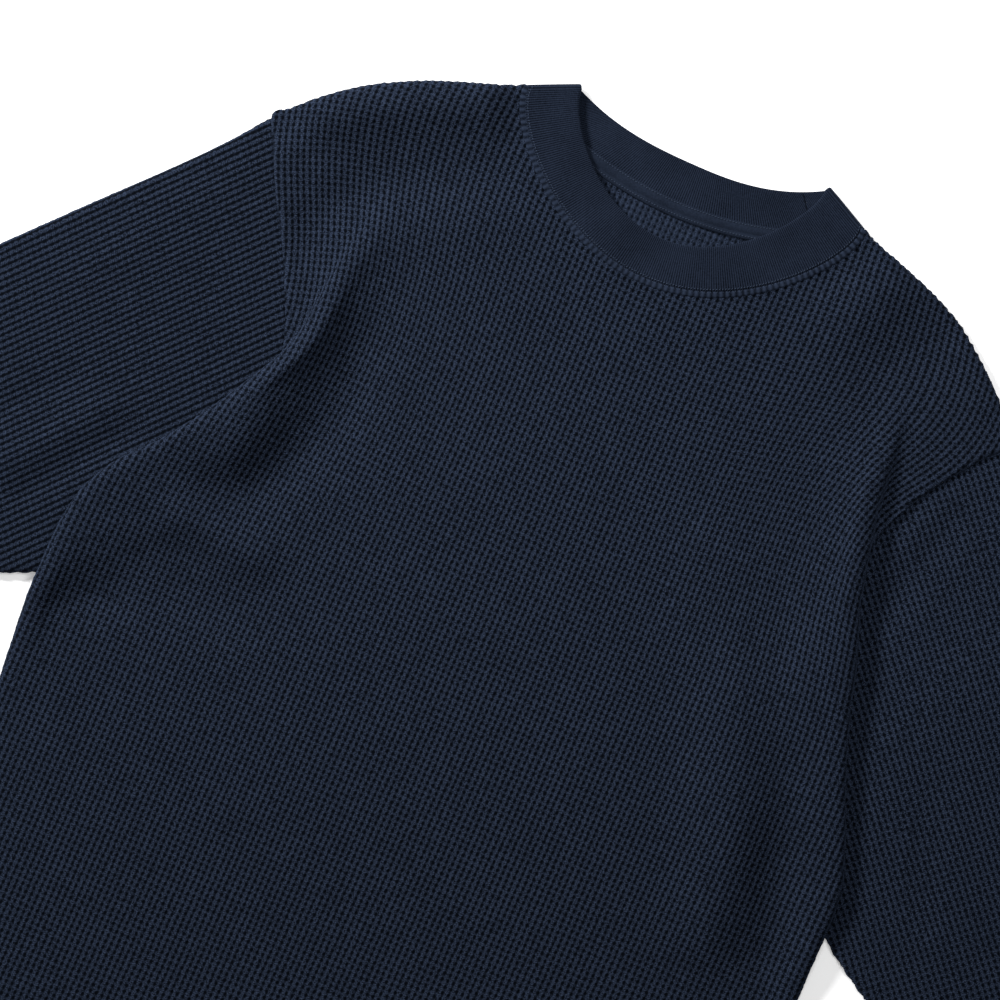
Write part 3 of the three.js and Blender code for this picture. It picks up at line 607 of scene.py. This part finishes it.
def waffle(name, u_range, v_range, to_plan, mid, room, sign=1.0, skirt=True, depth=PIT):
    """A field of waffle cells at two faces a cell each way, cut to where room is positive.

    u and v are in half cells, to_plan turns them into the surface's two directions, and mid gives
    the mid-wall point there. Points near the edge are first moved on to it. With a skirt, the edge
    is closed down to the wall's inner face.
    """
    near_edge, pulls, probe = 1.1, 3, 0.25
    u = np.arange(u_range[0], u_range[1] + 1)
    v = np.arange(v_range[0], v_range[1] + 1)
    uu, vv = np.meshgrid(u, v)
    a, b = to_plan(uu * 0.5 * WALE, vv * 0.5 * COURSE)
    for _ in range(pulls):
        inside = room(a, b)
        near = np.abs(inside) < near_edge
        da = (room(a + probe, b) - room(a - probe, b)) / (2 * probe)
        db = (room(a, b + probe) - room(a, b - probe)) / (2 * probe)
        size = np.maximum(da * da + db * db, 0.05)
        a = np.where(near, a - inside * da / size, a)
        b = np.where(near, b - inside * db / size, b)
    inside = room(a, b)
    keep = inside > -0.15
    middle = mid(a, b)
    normal = normals_of(middle) * sign
    in_pit = (uu % 2 == 1).astype(float)
    in_bar = (vv % 2 == 0).astype(float)
    bar_deep, rib_deep = 0.42, 0.12  # as shares of a pit's depth
    deep = in_pit * (bar_deep * in_bar + (1 - in_bar)) + (1 - in_pit) * rib_deep * (1 - in_bar)
    edge = ease(inside / 3.0)
    uneven = 1 + 0.12 * rng.standard_normal(deep.shape)
    out = WALL / 2 - depth * deep * edge * uneven
    shift = 0.10 * rng.standard_normal(middle.shape) * edge[..., None]
    verts = (middle + normal * out[..., None] + shift * np.array([1, 1, 0.4]))[keep]
    index = -np.ones(uu.shape, dtype=int)
    index[keep] = np.arange(keep.sum())
    quads = grid_quads(index)
    if sign < 0:
        quads = quads[:, ::-1]
    whole = quads[(quads >= 0).all(axis=1)]
    partial = quads[(quads >= 0).sum(axis=1) == 3]
    faces = [tuple(q) for q in whole] + [tuple(i for i in q if i >= 0) for q in partial]
    uv = points(uu[keep] * 0.5, vv[keep] * 0.5)
    if skirt:
        verts, faces, uv = with_skirt(verts, faces, uv, (middle - normal * WALL / 2)[keep])
    return make_object(name, verts, faces, uv)


def with_skirt(verts, faces, uv, inner):
    """Adds a rim from the sheet's open edge to its inner face."""
    pairs = dict.fromkeys(pair for face in faces for pair in zip(face, face[1:] + face[:1]))
    rim = [(i, j) for i, j in pairs if (j, i) not in pairs]
    used = sorted({i for pair in rim for i in pair})
    new = {i: len(verts) + k for k, i in enumerate(used)}
    faces = faces + [(j, i, new[i], new[j]) for i, j in rim]
    return np.concatenate([verts, inner[used]]), faces, np.concatenate([uv, uv[used]])


def strip_grid(name, grid, uv=None, closed=False):
    """A sheet of quads from a grid of points, closed across its rows where it is a tube."""
    index = np.arange(grid[..., 0].size).reshape(grid.shape[:2])
    if closed:
        index = np.concatenate([index, index[:, :1]], axis=1)
    return make_object(name, grid.reshape(-1, 3), grid_quads(index), uv)


def tube_along(name, path, width, height, sides, tuck, swell=0.0):
    """A soft roll along a path: an ellipse width wide and height tall, sunk a little into the cloth.

    swell is how much it thickens and thins once a cell.
    """
    ahead = unit(np.gradient(path, axis=0))
    beside = np.cross(UP, ahead)
    angle = np.linspace(0, 2 * math.pi, sides, endpoint=False)
    distance = run_length(path)
    full = (1 + swell * np.cos(2 * math.pi * distance / WALE))[:, None]
    ring = []
    for t in angle:
        rise = height * (math.sin(t) * full / 2 + 0.5 - tuck)
        ring.append(path + beside * (width / 2 * math.cos(t)) * full + UP * rise)
    uv = points(distance[:, None], angle[None, :] * width / 4)
    return strip_grid(name, np.stack(ring, axis=1), uv.reshape(-1, 2), closed=True)


def resample(path, spacing):
    """Points at an even spacing along a path."""
    distance = run_length(path)
    at = np.linspace(0, distance[-1], max(2, int(distance[-1] / spacing)))
    return np.stack([np.interp(at, distance, path[:, k]) for k in range(path.shape[1])], axis=1)


# A stitch's stations, as (share of its length, share of its width, rise), and its section.
STITCH_STATIONS = ((-0.5, 0.55, 0.0), (-0.2, 1.0, 1.0), (0.2, 1.0, 1.0), (0.5, 0.55, 0.0))
STITCH_SECTION = ((1, 0.0), (0, 1.0), (-1, 0.0), (0, -0.6))
STITCH_BOW = 0.35  # how high a stitch stands over the cloth
STITCH_SUNK = 0.05  # how deep its ends are in it


def stitches(name, path, pitch, length, width, slant=0.0):
    """A row of small thread stitches along a path, as one mesh: each a short bar bowed over the cloth."""
    at = resample(path, pitch)
    ahead = unit(np.gradient(at, axis=0))
    beside = np.cross(UP, ahead)
    lean = slant + 0.12 * rng.standard_normal(len(at))
    line = ahead * np.cos(lean)[:, None] + beside * np.sin(lean)[:, None]
    cross = np.cross(UP, line)
    scale = 1 + 0.1 * rng.standard_normal(len(at))
    verts = []
    for share, wide, rise in STITCH_STATIONS:
        centre = at + line * (share * length * scale[:, None]) + UP * (rise * STITCH_BOW - STITCH_SUNK)
        for side, lift in STITCH_SECTION:
            verts.append(centre + cross * (side * wide * width / 2) + UP * (lift * wide * width / 2))
    sides, per = len(STITCH_SECTION), len(verts)
    quads = []
    for first in range(0, per - sides, sides):
        for c in range(sides):
            after = (c + 1) % sides
            quads.append((first + c, first + after, first + sides + after, first + sides + c))
    quads += [(3, 2, 1, 0), (per - 4, per - 3, per - 2, per - 1)]
    faces = (np.arange(len(at))[:, None, None] * per + np.array(quads)[None]).reshape(-1, 4)
    return make_object(name, np.stack(verts, axis=1).reshape(-1, 3), faces)


# Materials
# The cloth's colour on its ridges, and the painted shade put into the cells' pits
NAVY_RIDGE = (0.0280, 0.0400, 0.0711)
NAVY_PIT_SHADE = (0.0010, 0.0015, 0.0027)
CLOTH_FINISH = {
    "Roughness": 0.95,
    "Specular IOR Level": 0.02,
    "Sheen Weight": 0.06,
    "Sheen Roughness": 0.55,
    "Sheen Tint": (0.30, 0.42, 0.72, 1),
}


def fill_inputs(tree, made, inputs):
    """Sets a node's inputs to numbers, or links them to other nodes' outputs."""
    for slot, given in inputs.items():
        if isinstance(given, bpy.types.NodeSocket):
            tree.links.new(given, made.inputs[slot])
        else:
            made.inputs[slot].default_value = given


def node(tree, kind, inputs=None, **settings):
    made = tree.nodes.new(kind)
    for key, value in settings.items():
        setattr(made, key, value)
    fill_inputs(tree, made, inputs or {})
    return made


def new_material(name, finish):
    material = bpy.data.materials.new(name)
    material.use_nodes = True
    tree = material.node_tree
    tree.nodes.clear()
    out = tree.nodes.new("ShaderNodeOutputMaterial")
    shader = tree.nodes.new("ShaderNodeBsdfPrincipled")
    tree.links.new(shader.outputs["BSDF"], out.inputs["Surface"])
    fill_inputs(tree, shader, finish)
    return material, tree, shader


def maths_of(tree):
    """A tree's sum, difference, product, cosine and sine, each as a function of its inputs."""

    def made_by(operation):
        def made(*values, clamp=False):
            inputs = dict(enumerate(values))
            kind = "ShaderNodeMath"
            return node(tree, kind, inputs, operation=operation, use_clamp=clamp).outputs[0]

        return made

    return [made_by(name) for name in ("ADD", "SUBTRACT", "MULTIPLY", "COSINE", "SINE")]


def noise(tree, vector, scale, detail=2.0, rough=0.6):
    inputs = {"Scale": scale, "Detail": detail, "Roughness": rough, "Vector": vector}
    return node(tree, "ShaderNodeTexNoise", inputs).outputs["Fac"]


def object_place(tree):
    return node(tree, "ShaderNodeTexCoord").outputs["Object"]


def split_uv(tree):
    uv = node(tree, "ShaderNodeUVMap", uv_map="UVMap").outputs["UV"]
    return uv, node(tree, "ShaderNodeSeparateXYZ", {0: uv}).outputs


def colour_by(tree, shader, factor, low, high):
    """Colours the shader from low at 0 to high at 1."""
    made = node(tree, "ShaderNodeMix", data_type="RGBA")
    fill_inputs(tree, made, {"Factor": factor, "A": (*low, 1), "B": (*high, 1)})
    tree.links.new(made.outputs["Result"], shader.inputs["Base Color"])


def bump_by(tree, shader, height, strength, distance):
    inputs = {"Strength": strength, "Distance": distance, "Height": height}
    bump = node(tree, "ShaderNodeBump", inputs)
    tree.links.new(bump.outputs["Normal"], shader.inputs["Normal"])


def waffle_material(name, bars=0.42):
    """Waffle knit: colour from the cell coordinates with painted shade, dark in the pits, less so on the
    bars and light on the ribs, with fine stitches.

    bars is how much the bars close the pits.
    """
    bar_shade, pit_level, ridge_level = 0.13, 0.08, 0.80
    speckle, loop_tone, broad_tone, base_tone = 3.4, 0.07, 0.12, 0.50
    material, tree, shader = new_material(name, CLOTH_FINISH)
    add, less, times, cosine, sine = maths_of(tree)
    uv, split = split_uv(tree)
    wobble = less(noise(tree, uv, 1.3, 1.0), 0.5)
    u, v = add(split[0], times(wobble, 0.12)), add(split[1], times(wobble, 0.16))
    across, along = cosine(times(u, 2 * math.pi)), cosine(times(v, 2 * math.pi))
    rib, bar = add(times(across, 0.5), 0.5), add(times(along, 0.5), 0.5)
    # Painted shade: the colour darkens from the ribs through the bars into the pits.
    level = less(1.0, times(less(1.0, rib), less(1.0, times(bar, bars))))
    level = less(level, times(less(1.0, bar), bar_shade))
    levels = {"Value": level, "From Min": pit_level, "From Max": ridge_level}
    raised = node(tree, "ShaderNodeMapRange", levels, interpolation_type="SMOOTHSTEP").outputs["Result"]
    place = object_place(tree)
    fuzz = noise(tree, place, 1150, 2.0, 0.75)
    broad = noise(tree, place, 22)
    # The loops of the knit: short slanted strokes, three to a cell.
    loops = sine(times(add(times(v, 3.0), times(across, 0.22)), 2 * math.pi))
    tone = add(times(loops, loop_tone), times(less(fuzz, 0.5), speckle))
    tone = add(tone, times(less(broad, 0.5), broad_tone))
    light = times(raised, add(tone, base_tone), clamp=True)
    colour_by(tree, shader, light, NAVY_PIT_SHADE, NAVY_RIDGE)
    bump_by(tree, shader, add(times(loops, 0.5), times(fuzz, 1.4)), 0.55, 0.00022)
    return material


def flat_waffle_material(name):
    """The same cloth on undersides, where the cells are drawn by bump and by painted shade in their pits.
    """
    material, tree, shader = new_material(name, CLOTH_FINISH)
    add, _, times, cosine, _ = maths_of(tree)
    split = node(tree, "ShaderNodeSeparateXYZ", {0: object_place(tree)}).outputs
    across = cosine(times(split[0], 2 * math.pi / (WALE * MM)))
    along = cosine(times(split[1], 2 * math.pi / (COURSE * MM)))
    # Painted shade: darker between the cells' ridges, lighter on them.
    light = add(add(times(across, 0.35), times(along, 0.15)), 0.5, clamp=True)
    colour_by(tree, shader, light, NAVY_PIT_SHADE, NAVY_RIDGE)
    bump_by(tree, shader, light, 0.8, 0.0008)
    return material


def plain_material(name, low, high, scale, strength, ribs=None):
    """Fine knit: mottled, with a bump. ribs is how many ribs a unit of u holds, and with ribs the hollows
    between them take painted shade.
    """
    loop_length, rib_shade, darker = 1.1, 0.34, 0.22
    material, tree, shader = new_material(name, CLOTH_FINISH)
    add, less, times, cosine, sine = maths_of(tree)
    place = object_place(tree)
    fuzz = noise(tree, place, scale, 2.0, 0.7)
    height = fuzz
    factor = add(times(fuzz, 0.9), times(noise(tree, place, 30), 0.5))
    if ribs:
        _, split = split_uv(tree)
        # Painted shade: lighter on the raised ribs, darker in the hollows between them.
        factor = add(factor, times(cosine(times(split[0], 2 * math.pi * ribs)), rib_shade))
        height = add(height, times(sine(times(split[1], 2 * math.pi / loop_length)), 0.25))
    colour_by(tree, shader, less(factor, darker, clamp=True), low, high)
    bump_by(tree, shader, height, strength, 0.00015)
    return material


WAFFLE = waffle_material("waffle_knit")
# The sleeves' copies differ in how far the bars lighten the painted shade in the pits.
WAFFLE_SLEEVES = {
    side: waffle_material(f"waffle_knit_{side}", bars) for side, bars in (("left", 0.20), ("right", 0.52))
}
WAFFLE_UNDER = flat_waffle_material("waffle_knit_under")
RIB = plain_material("rib_knit", (0.0008, 0.0012, 0.0024), (0.0165, 0.0234, 0.0415), 1100, 0.6, 1.0)
ROLLED = plain_material(
    "rolled_knit", (0.0030, 0.0043, 0.0078), (0.0215, 0.0306, 0.0540), 1000, 0.6, 1 / WALE
)
TAPE_KNIT = plain_material("tape_knit", (0.0032, 0.0046, 0.0083), (0.0180, 0.0256, 0.0450), 1000, 0.5)
SEAM_SHADE = plain_material("seam_shade", (0.0015, 0.0021, 0.0038), (0.0050, 0.0070, 0.0120), 1000, 0.4)
THREAD = plain_material("thread", (0.022, 0.031, 0.053), (0.060, 0.080, 0.120), 2000, 0.3)


def dress(obj, material):
    obj.data.materials.append(material)
    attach(obj, "root")
    return obj


# Front
front = waffle("front_cloth", (-160, 160), (-184, 176), swirl, front_mid, front_room)
dress(front, WAFFLE)
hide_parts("front")

# Sleeves: the waffle runs over the top and round both edges, and a plain layer lies beneath
SLEEVE_GRAIN = {"left": (1.033, 0.258), "right": (1.0, 0.0)}  # how the cells are stretched and sheared
SLEEVE_PIT = {"left": PIT, "right": 0.75 * PIT}
sleeve_shapes = {side: Sleeve(side) for side in SIDE_SIGN}


def sleeve_underside(side, shape, rows=60, columns=30):
    share = np.linspace(0, 1, columns)[None, :]
    seam_at = np.linspace(0, len(shape.seam_along) - 1, columns).astype(int)
    start_along = shape.seam_along[seam_at][None, :] + 1.0
    first, last = layer_edges(side, start_along, SLEEVE_END_Z)
    seam_share = np.clip((shape.seam_across[seam_at][None, :] - first) / (last - first), 0, 1)
    down = mix(start_along, SLEEVE_LENGTH - 0.5, np.linspace(0, 1, rows)[:, None])
    rise = ease((down - start_along) / SLEEVE_RISE)
    start, stop = layer_edges(side, down, mix(SLEEVE_END_Z, SLEEVE_LOFT, rise))
    across = mix(start - UNDER_LAP, stop + UNDER_LAP, mix(seam_share, share, rise))
    x, y = shape.place_plan(down, across)
    return strip_grid(f"sleeve_{side}_under", points(x, y, UNDER_Z))


for side, shape in sleeve_shapes.items():
    stretch, shear = SLEEVE_GRAIN[side]

    def to_plan(u, v, stretch=stretch, shear=shear):
        return v * stretch + shear * u, u

    cloth = waffle(
        f"sleeve_{side}_cloth",
        (-8, 118),
        (-40, 300),
        to_plan,
        shape.mid,
        shape.room,
        sign=SIDE_SIGN[side],
        depth=SLEEVE_PIT[side],
    )
    under = sleeve_underside(side, shape)
    under.data.materials.append(WAFFLE_UNDER)
    cloth.data.materials.append(WAFFLE_SLEEVES[side])
    bpy.context.view_layer.objects.active = cloth
    with bpy.context.temp_override(active_object=cloth, selected_editable_objects=[cloth, under]):
        bpy.ops.object.join()
    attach(cloth, "root")
    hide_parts(f"sleeve_{side}")

# Back: flat on the surface, with its cells raised where the neck shows them
BACK_ARMHOLE_LOW = {"left": -60, "right": -72}


def back_half_width(y, side):
    hole = ARMHOLES[side]
    low_end = read(SECTIONS[side], "y", "end", y) - 1.5
    at_hole = read(hole, "y", "x", y) - (SEAM_LAP + 0.8)
    start = BACK_ARMHOLE_LOW[side] - 12
    width = np.where(y < start, low_end, at_hole)
    width = np.where(y > hole["y"][0] - 16, hole["x"][0] - TIP_INSET, width)
    return np.minimum(width, low_end + 400 * (y > start))


u = np.linspace(-1, 1, 81)[None, :]
v = np.linspace(0, 1, 121)[:, None]
across = u * np.where(u < 0, TIPS["left"][0] - TIP_INSET, TIPS["right"][0] - TIP_INSET)
shoulder_y = front_top(across) - (ROLL + WALL / 2 + 1.2)
neck_y = back_seam(across) - 0.5
y = mix(HEM_Y, np.where(np.abs(across) < BAND_OUTER, neck_y, shoulder_y), v)
x = u * np.where(u < 0, back_half_width(y, "left"), back_half_width(y, "right"))
index = np.arange(x.size).reshape(x.shape)
quads = grid_quads(index)
border = np.concatenate([index[0, :], index[1:, -1], index[-1, -2::-1], index[-2:0:-1, 0]])
ahead = np.roll(border, -1)
rim = points(ahead, border, border + x.size, ahead + x.size)
faces = np.concatenate([quads, quads[:, ::-1] + x.size, rim])
layers = [points(x, y, z).reshape(-1, 3) for z in (WALL, 0.02)]
back = make_object("back_cloth", np.concatenate(layers), faces)
dress(back, WAFFLE_UNDER)
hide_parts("back")


def back_room(x, y):
    beside = np.minimum(BACK_NECK_HALF - np.abs(x), y - BACK_NECK_LOW)
    return np.minimum(beside, back_seam(x) - 1.0 - y)


back_neck = waffle(
    "back_neck_cloth",
    (-52, 52),
    (128, 168),
    lambda u, v: (u, v),
    lambda x, y: points(x, y, WALL / 2 + 0.25),
    back_room,
    skirt=False,
    depth=0.9,
)
dress(back_neck, WAFFLE)


# Collar
def band_arc(angle, is_back):
    """The band's seam edge, folded edge and outward direction along the front or the back."""
    cos, sin = np.cos(angle), np.sin(angle)
    side = np.abs(cos)
    if is_back:
        seam_y = back_seam(BAND_OUTER * cos)
        top_y = mix(BACK_TOP_LOW, by_side(cos, *BAND_TOP_Y.values()), side**BACK_TOP_CURVE)
        z_seam = z_top = BAND_BACK_Z
    else:
        seam_y = front_seam(BAND_OUTER * cos)
        top_y = mix(FRONT_INNER_LOW, by_side(cos, *BAND_TOP_Y.values()), scoop(side))
        z_seam = BAND_FRONT_Z
        z_top = z_seam + 0.6 * ease(-sin / 0.6)
    out = points(0 * cos, 0, -1 if is_back else 1)
    return points(BAND_OUTER * cos, seam_y, z_seam), points(BAND_INNER * cos, top_y, z_top), out


def band_fold(side, turn):
    """The same round the fold at a shoulder point."""
    sign, radius = SIDE_SIGN[side], (BAND_FRONT_Z - BAND_BACK_Z) / 2
    seam_y, top_y = BAND_SEAM_Y[side], BAND_TOP_Y[side]
    run = np.array([BAND_OUTER - BAND_INNER, top_y - seam_y])
    away = np.array([sign * run[1], run[0]]) / np.hypot(*run)
    cos, sin = np.cos(turn), np.sin(turn)
    z = (BAND_FRONT_Z + BAND_BACK_Z) / 2 + radius * cos
    seam, top = (
        points(sign * x + away[0] * radius * sin, y + away[1] * radius * sin, z)
        for x, y in ((BAND_OUTER, seam_y), (BAND_INNER, top_y))
    )
    return seam, top, points(away[0] * sin, away[1] * sin, cos)


def band_edges(samples=2400):
    """The band's seam edge, folded edge and outward direction, once round the neck."""
    step = np.linspace(0, math.pi, samples // 2 + 1)[1:-1]
    half_turn = np.linspace(0, math.pi, 40)
    parts = [
        band_arc(step, True),
        band_fold("left", half_turn[::-1]),
        band_arc(math.pi + step, False),
        band_fold("right", half_turn),
    ]
    return [np.concatenate([part[k] for part in parts]) for k in range(3)]


def even_round(parts, spacing):
    """The band's edges again, at an even spacing along the middle of the band, in threes."""
    middle = (parts[0] + parts[1]) / 2
    distance = run_length(np.concatenate([middle, middle[:1]]))
    count = int(distance[-1] / spacing / 3) * 3
    at = np.linspace(0, distance[-1], count, endpoint=False)
    return [
        np.stack([np.interp(at, distance, np.append(p[:, k], p[0, k])) for k in range(3)], axis=1)
        for p in parts
    ]


seam_edge, top_edge, outward = even_round(band_edges(), RIB_PITCH / 3)
outward = unit(outward)
# The band's section, as (share of its depth, side of its middle, share of the ribs' height).
FLAT_TO = 0.955
profile = [(share, 0.5, 1.0) for share in np.linspace(0.0, FLAT_TO, 13)]
for turn in np.linspace(0, math.pi, 7)[1:-1]:
    profile.append((FLAT_TO + (1 - FLAT_TO) * math.sin(turn), 0.5 * math.cos(turn), 0.6))
profile += [(share, -0.5, 1.0) for share in np.linspace(FLAT_TO, 0.0, 13)]
ribbing = 0.10 * np.cos(2 * math.pi * np.arange(len(seam_edge)) / 3)
rows = []
for share, level, amount in profile:
    sag = 0.12 * math.sin(math.pi * share)
    lift = level * (BAND_THICK + sag) + np.sign(level) * ribbing * amount
    rows.append(mix(seam_edge, top_edge, share) + outward * lift[:, None])
grid = np.stack(rows, axis=0)
uv = points(np.arange(grid.shape[1])[None, :] / 3, run_length(grid[:, 0])[:, None])
index = np.arange(grid[..., 0].size).reshape(grid.shape[:2])
index = np.concatenate([index, index[:, :1]], axis=1)
index = np.concatenate([index, index[:1]], axis=0)
collar = make_object("collar_band", grid.reshape(-1, 3), grid_quads(index), uv.reshape(-1, 2))
dress(collar, RIB)
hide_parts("collar")

# Where the band's two ends are joined, on its inner face at the back
JOIN_FOOT_X, JOIN_TOP_X = 85.0, 69.0
join_z = BAND_BACK_Z + BAND_THICK / 2
join_top_y = mix(BACK_TOP_LOW, BAND_TOP_Y["right"], (JOIN_TOP_X / BAND_INNER) ** BACK_TOP_CURVE)
join_line = mix(
    np.array([JOIN_FOOT_X, back_seam(JOIN_FOOT_X), join_z]),
    np.array([JOIN_TOP_X, join_top_y, join_z]),
    np.linspace(0.04, 0.95, 24)[:, None],
)
join = tube_along("collar_join", join_line, 0.9, 0.5, sides=6, tuck=0.3)
dress(join, SEAM_SHADE)

# The smooth roll along the front neck seam, and the two rows of stitches on the band's foot
cos = np.cos(np.linspace(1.0, 2.0, 3001) * math.pi)
edge = points(BAND_OUTER * cos, front_seam(BAND_OUTER * cos), 0)
past_end = np.array([0, 2.5, 0])
edge = resample(np.concatenate([[edge[0] + past_end], edge, [edge[-1] + past_end]]), 0.6)
ahead = unit(np.gradient(edge, axis=0))
outside = points(ahead[:, 1], -ahead[:, 0], 0)
path = edge + outside * (EDGE_STRIP / 2 - 0.2)
below_seam = np.minimum(path[:, 1], front_top(path[:, 0]) - 1)
path[:, 2] = front_mid(path[:, 0], np.minimum(below_seam, 322))[:, 2] + WALL / 2
roll = tube_along("front_neck_roll", path, EDGE_STRIP + 1.4, 1.7, sides=12, tuck=0.5, swell=0.07)
dress(roll, ROLLED)
for name, away, high, length, wide, slant in (
    ("collar_foot_stitches", -1.7, 0.12, 1.35, 0.42, 0.5),
    ("collar_seam_stitches", 0.1, -0.25, 1.0, 0.36, 1.2),
):
    line = edge + outside * away
    line[:, 2] = BAND_FRONT_Z + BAND_THICK / 2 + high
    dress(stitches(name, line, 1.9, length, wide, slant), THREAD)

# Neck tape, with its two rows of stitches
x = np.linspace(-TAPE_HALF, TAPE_HALF, 260)
seam_y = back_seam(x)
slope = np.gradient(seam_y, x)
down = points(slope, -1) / np.hypot(1, slope)[:, None]
TAPE_PROFILE = (
    (0.0, 2.55), (0.0, 4.0), (0.05, 4.2), (0.13, 3.95), (0.22, 4.4), (0.38, 4.6), (0.52, 4.4),
    (0.62, 3.7), (0.68, 3.5), (0.76, 3.9), (0.88, 3.85), (1.0, 3.3), (1.0, 2.3),
)  # as (share of its width, height)


def tape_line(share, z):
    offset = share * TAPE_WIDTH - TAPE_LAP
    return points(x + down[:, 0] * offset, seam_y + down[:, 1] * offset, z)


grid = np.stack([tape_line(share, z) for share, z in TAPE_PROFILE], axis=0)[::-1]
tape = strip_grid("neck_tape_cloth", grid)
dress(tape, TAPE_KNIT)
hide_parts("neck_tape")
for name, share, z in (("tape_upper_stitches", 0.11, 4.05), ("tape_lower_stitches", 0.82, 3.92)):
    dress(stitches(name, tape_line(share, z), 1.9, 1.45, 0.36, 0.1), THREAD)

# Hem and sleeve ends: two rows of stitches each
HEM_STITCH = (3.2, 2.3, 0.45)  # their pitch, length and width
HEM_ROWS = (HEM_DEPTH - 3, HEM_DEPTH + 3)


def hem_row(name, line):
    line[:, 2] += WALL / 2 + 0.02
    dress(stitches(name, line, *HEM_STITCH), THREAD)


for k, offset in enumerate(HEM_ROWS):
    s = np.linspace(-258, 258, 500)
    hem_row(f"hem_stitches_{k}", front_mid(s, np.full_like(s, HEM_Y + offset)))
for side, shape in sleeve_shapes.items():
    for k, offset in enumerate(HEM_ROWS):
        round_ = np.linspace(9, 112, 200)
        line = shape.mid(np.full_like(round_, SLEEVE_LENGTH - offset), round_)
        hem_row(f"cuff_{side}_stitches_{k}", line)

# Floor
FLOOR_FINISH = {"Roughness": 0.9, "Emission Color": (1, 1, 1, 1), "Emission Strength": 0.34}
corners = [(4000 * x, 4000 * y, 0) for x, y in ((-1, -1), (1, -1), (1, 1), (-1, 1))]
floor = make_object("floor", np.array(corners), [(0, 1, 2, 3)])
material, tree, shader = new_material("pale_floor", FLOOR_FINISH)
speck = noise(tree, object_place(tree), 3, 1.0)
colour_by(tree, shader, speck, (0.93, 0.93, 0.935), (0.95, 0.95, 0.95))
floor.data.materials.append(material)

# Light: a broad soft key from the picture's upper left, a weak fill and an even pale surround
world = bpy.data.worlds.new("surround")
world.use_nodes = True
surround = world.node_tree.nodes["Background"]
surround.inputs["Color"].default_value = (1.0, 1.0, 1.0, 1)
surround.inputs["Strength"].default_value = 0.15
bpy.context.scene.world = world


def area_light(name, turn, rise, far, size, power):
    """A disk of light that looks at the origin. Its turn is from the picture's right."""
    data = bpy.data.lights.new(name, "AREA")
    data.shape = "DISK"
    data.size = size
    data.energy = power
    lamp = bpy.data.objects.new(name, data)
    lamp.visible_camera = False
    turn, rise = math.radians(turn) + TURN, math.radians(rise)
    level = far * math.cos(rise)
    lamp.location = (level * math.cos(turn), level * math.sin(turn), far * math.sin(rise))
    lamp.rotation_euler = (math.pi / 2 - rise, 0, turn + math.pi / 2)
    bpy.context.scene.collection.objects.link(lamp)


area_light("key", turn=130, rise=29, far=1.9, size=0.4, power=54)
area_light("fill", turn=48, rise=66, far=0.80, size=0.3, power=3.0)

# Camera: straight above, turned as in the picture
FRAME_WIDTH = 0.6173  # metres across the picture
FRAME_CENTRE = (-0.0244, 0.0929, 0.006)
camera_data = bpy.data.cameras.new("camera")
camera = bpy.data.objects.new("camera", camera_data)
bpy.context.scene.collection.objects.link(camera)
camera_data.lens = 85
camera_data.sensor_width = 36
distance = FRAME_WIDTH * camera_data.lens / camera_data.sensor_width
camera.location = (FRAME_CENTRE[0], FRAME_CENTRE[1], distance + FRAME_CENTRE[2])
camera.rotation_euler = (0, 0, TURN)
bpy.context.scene.camera = camera
bpy.context.scene.view_settings.view_transform = "Standard"
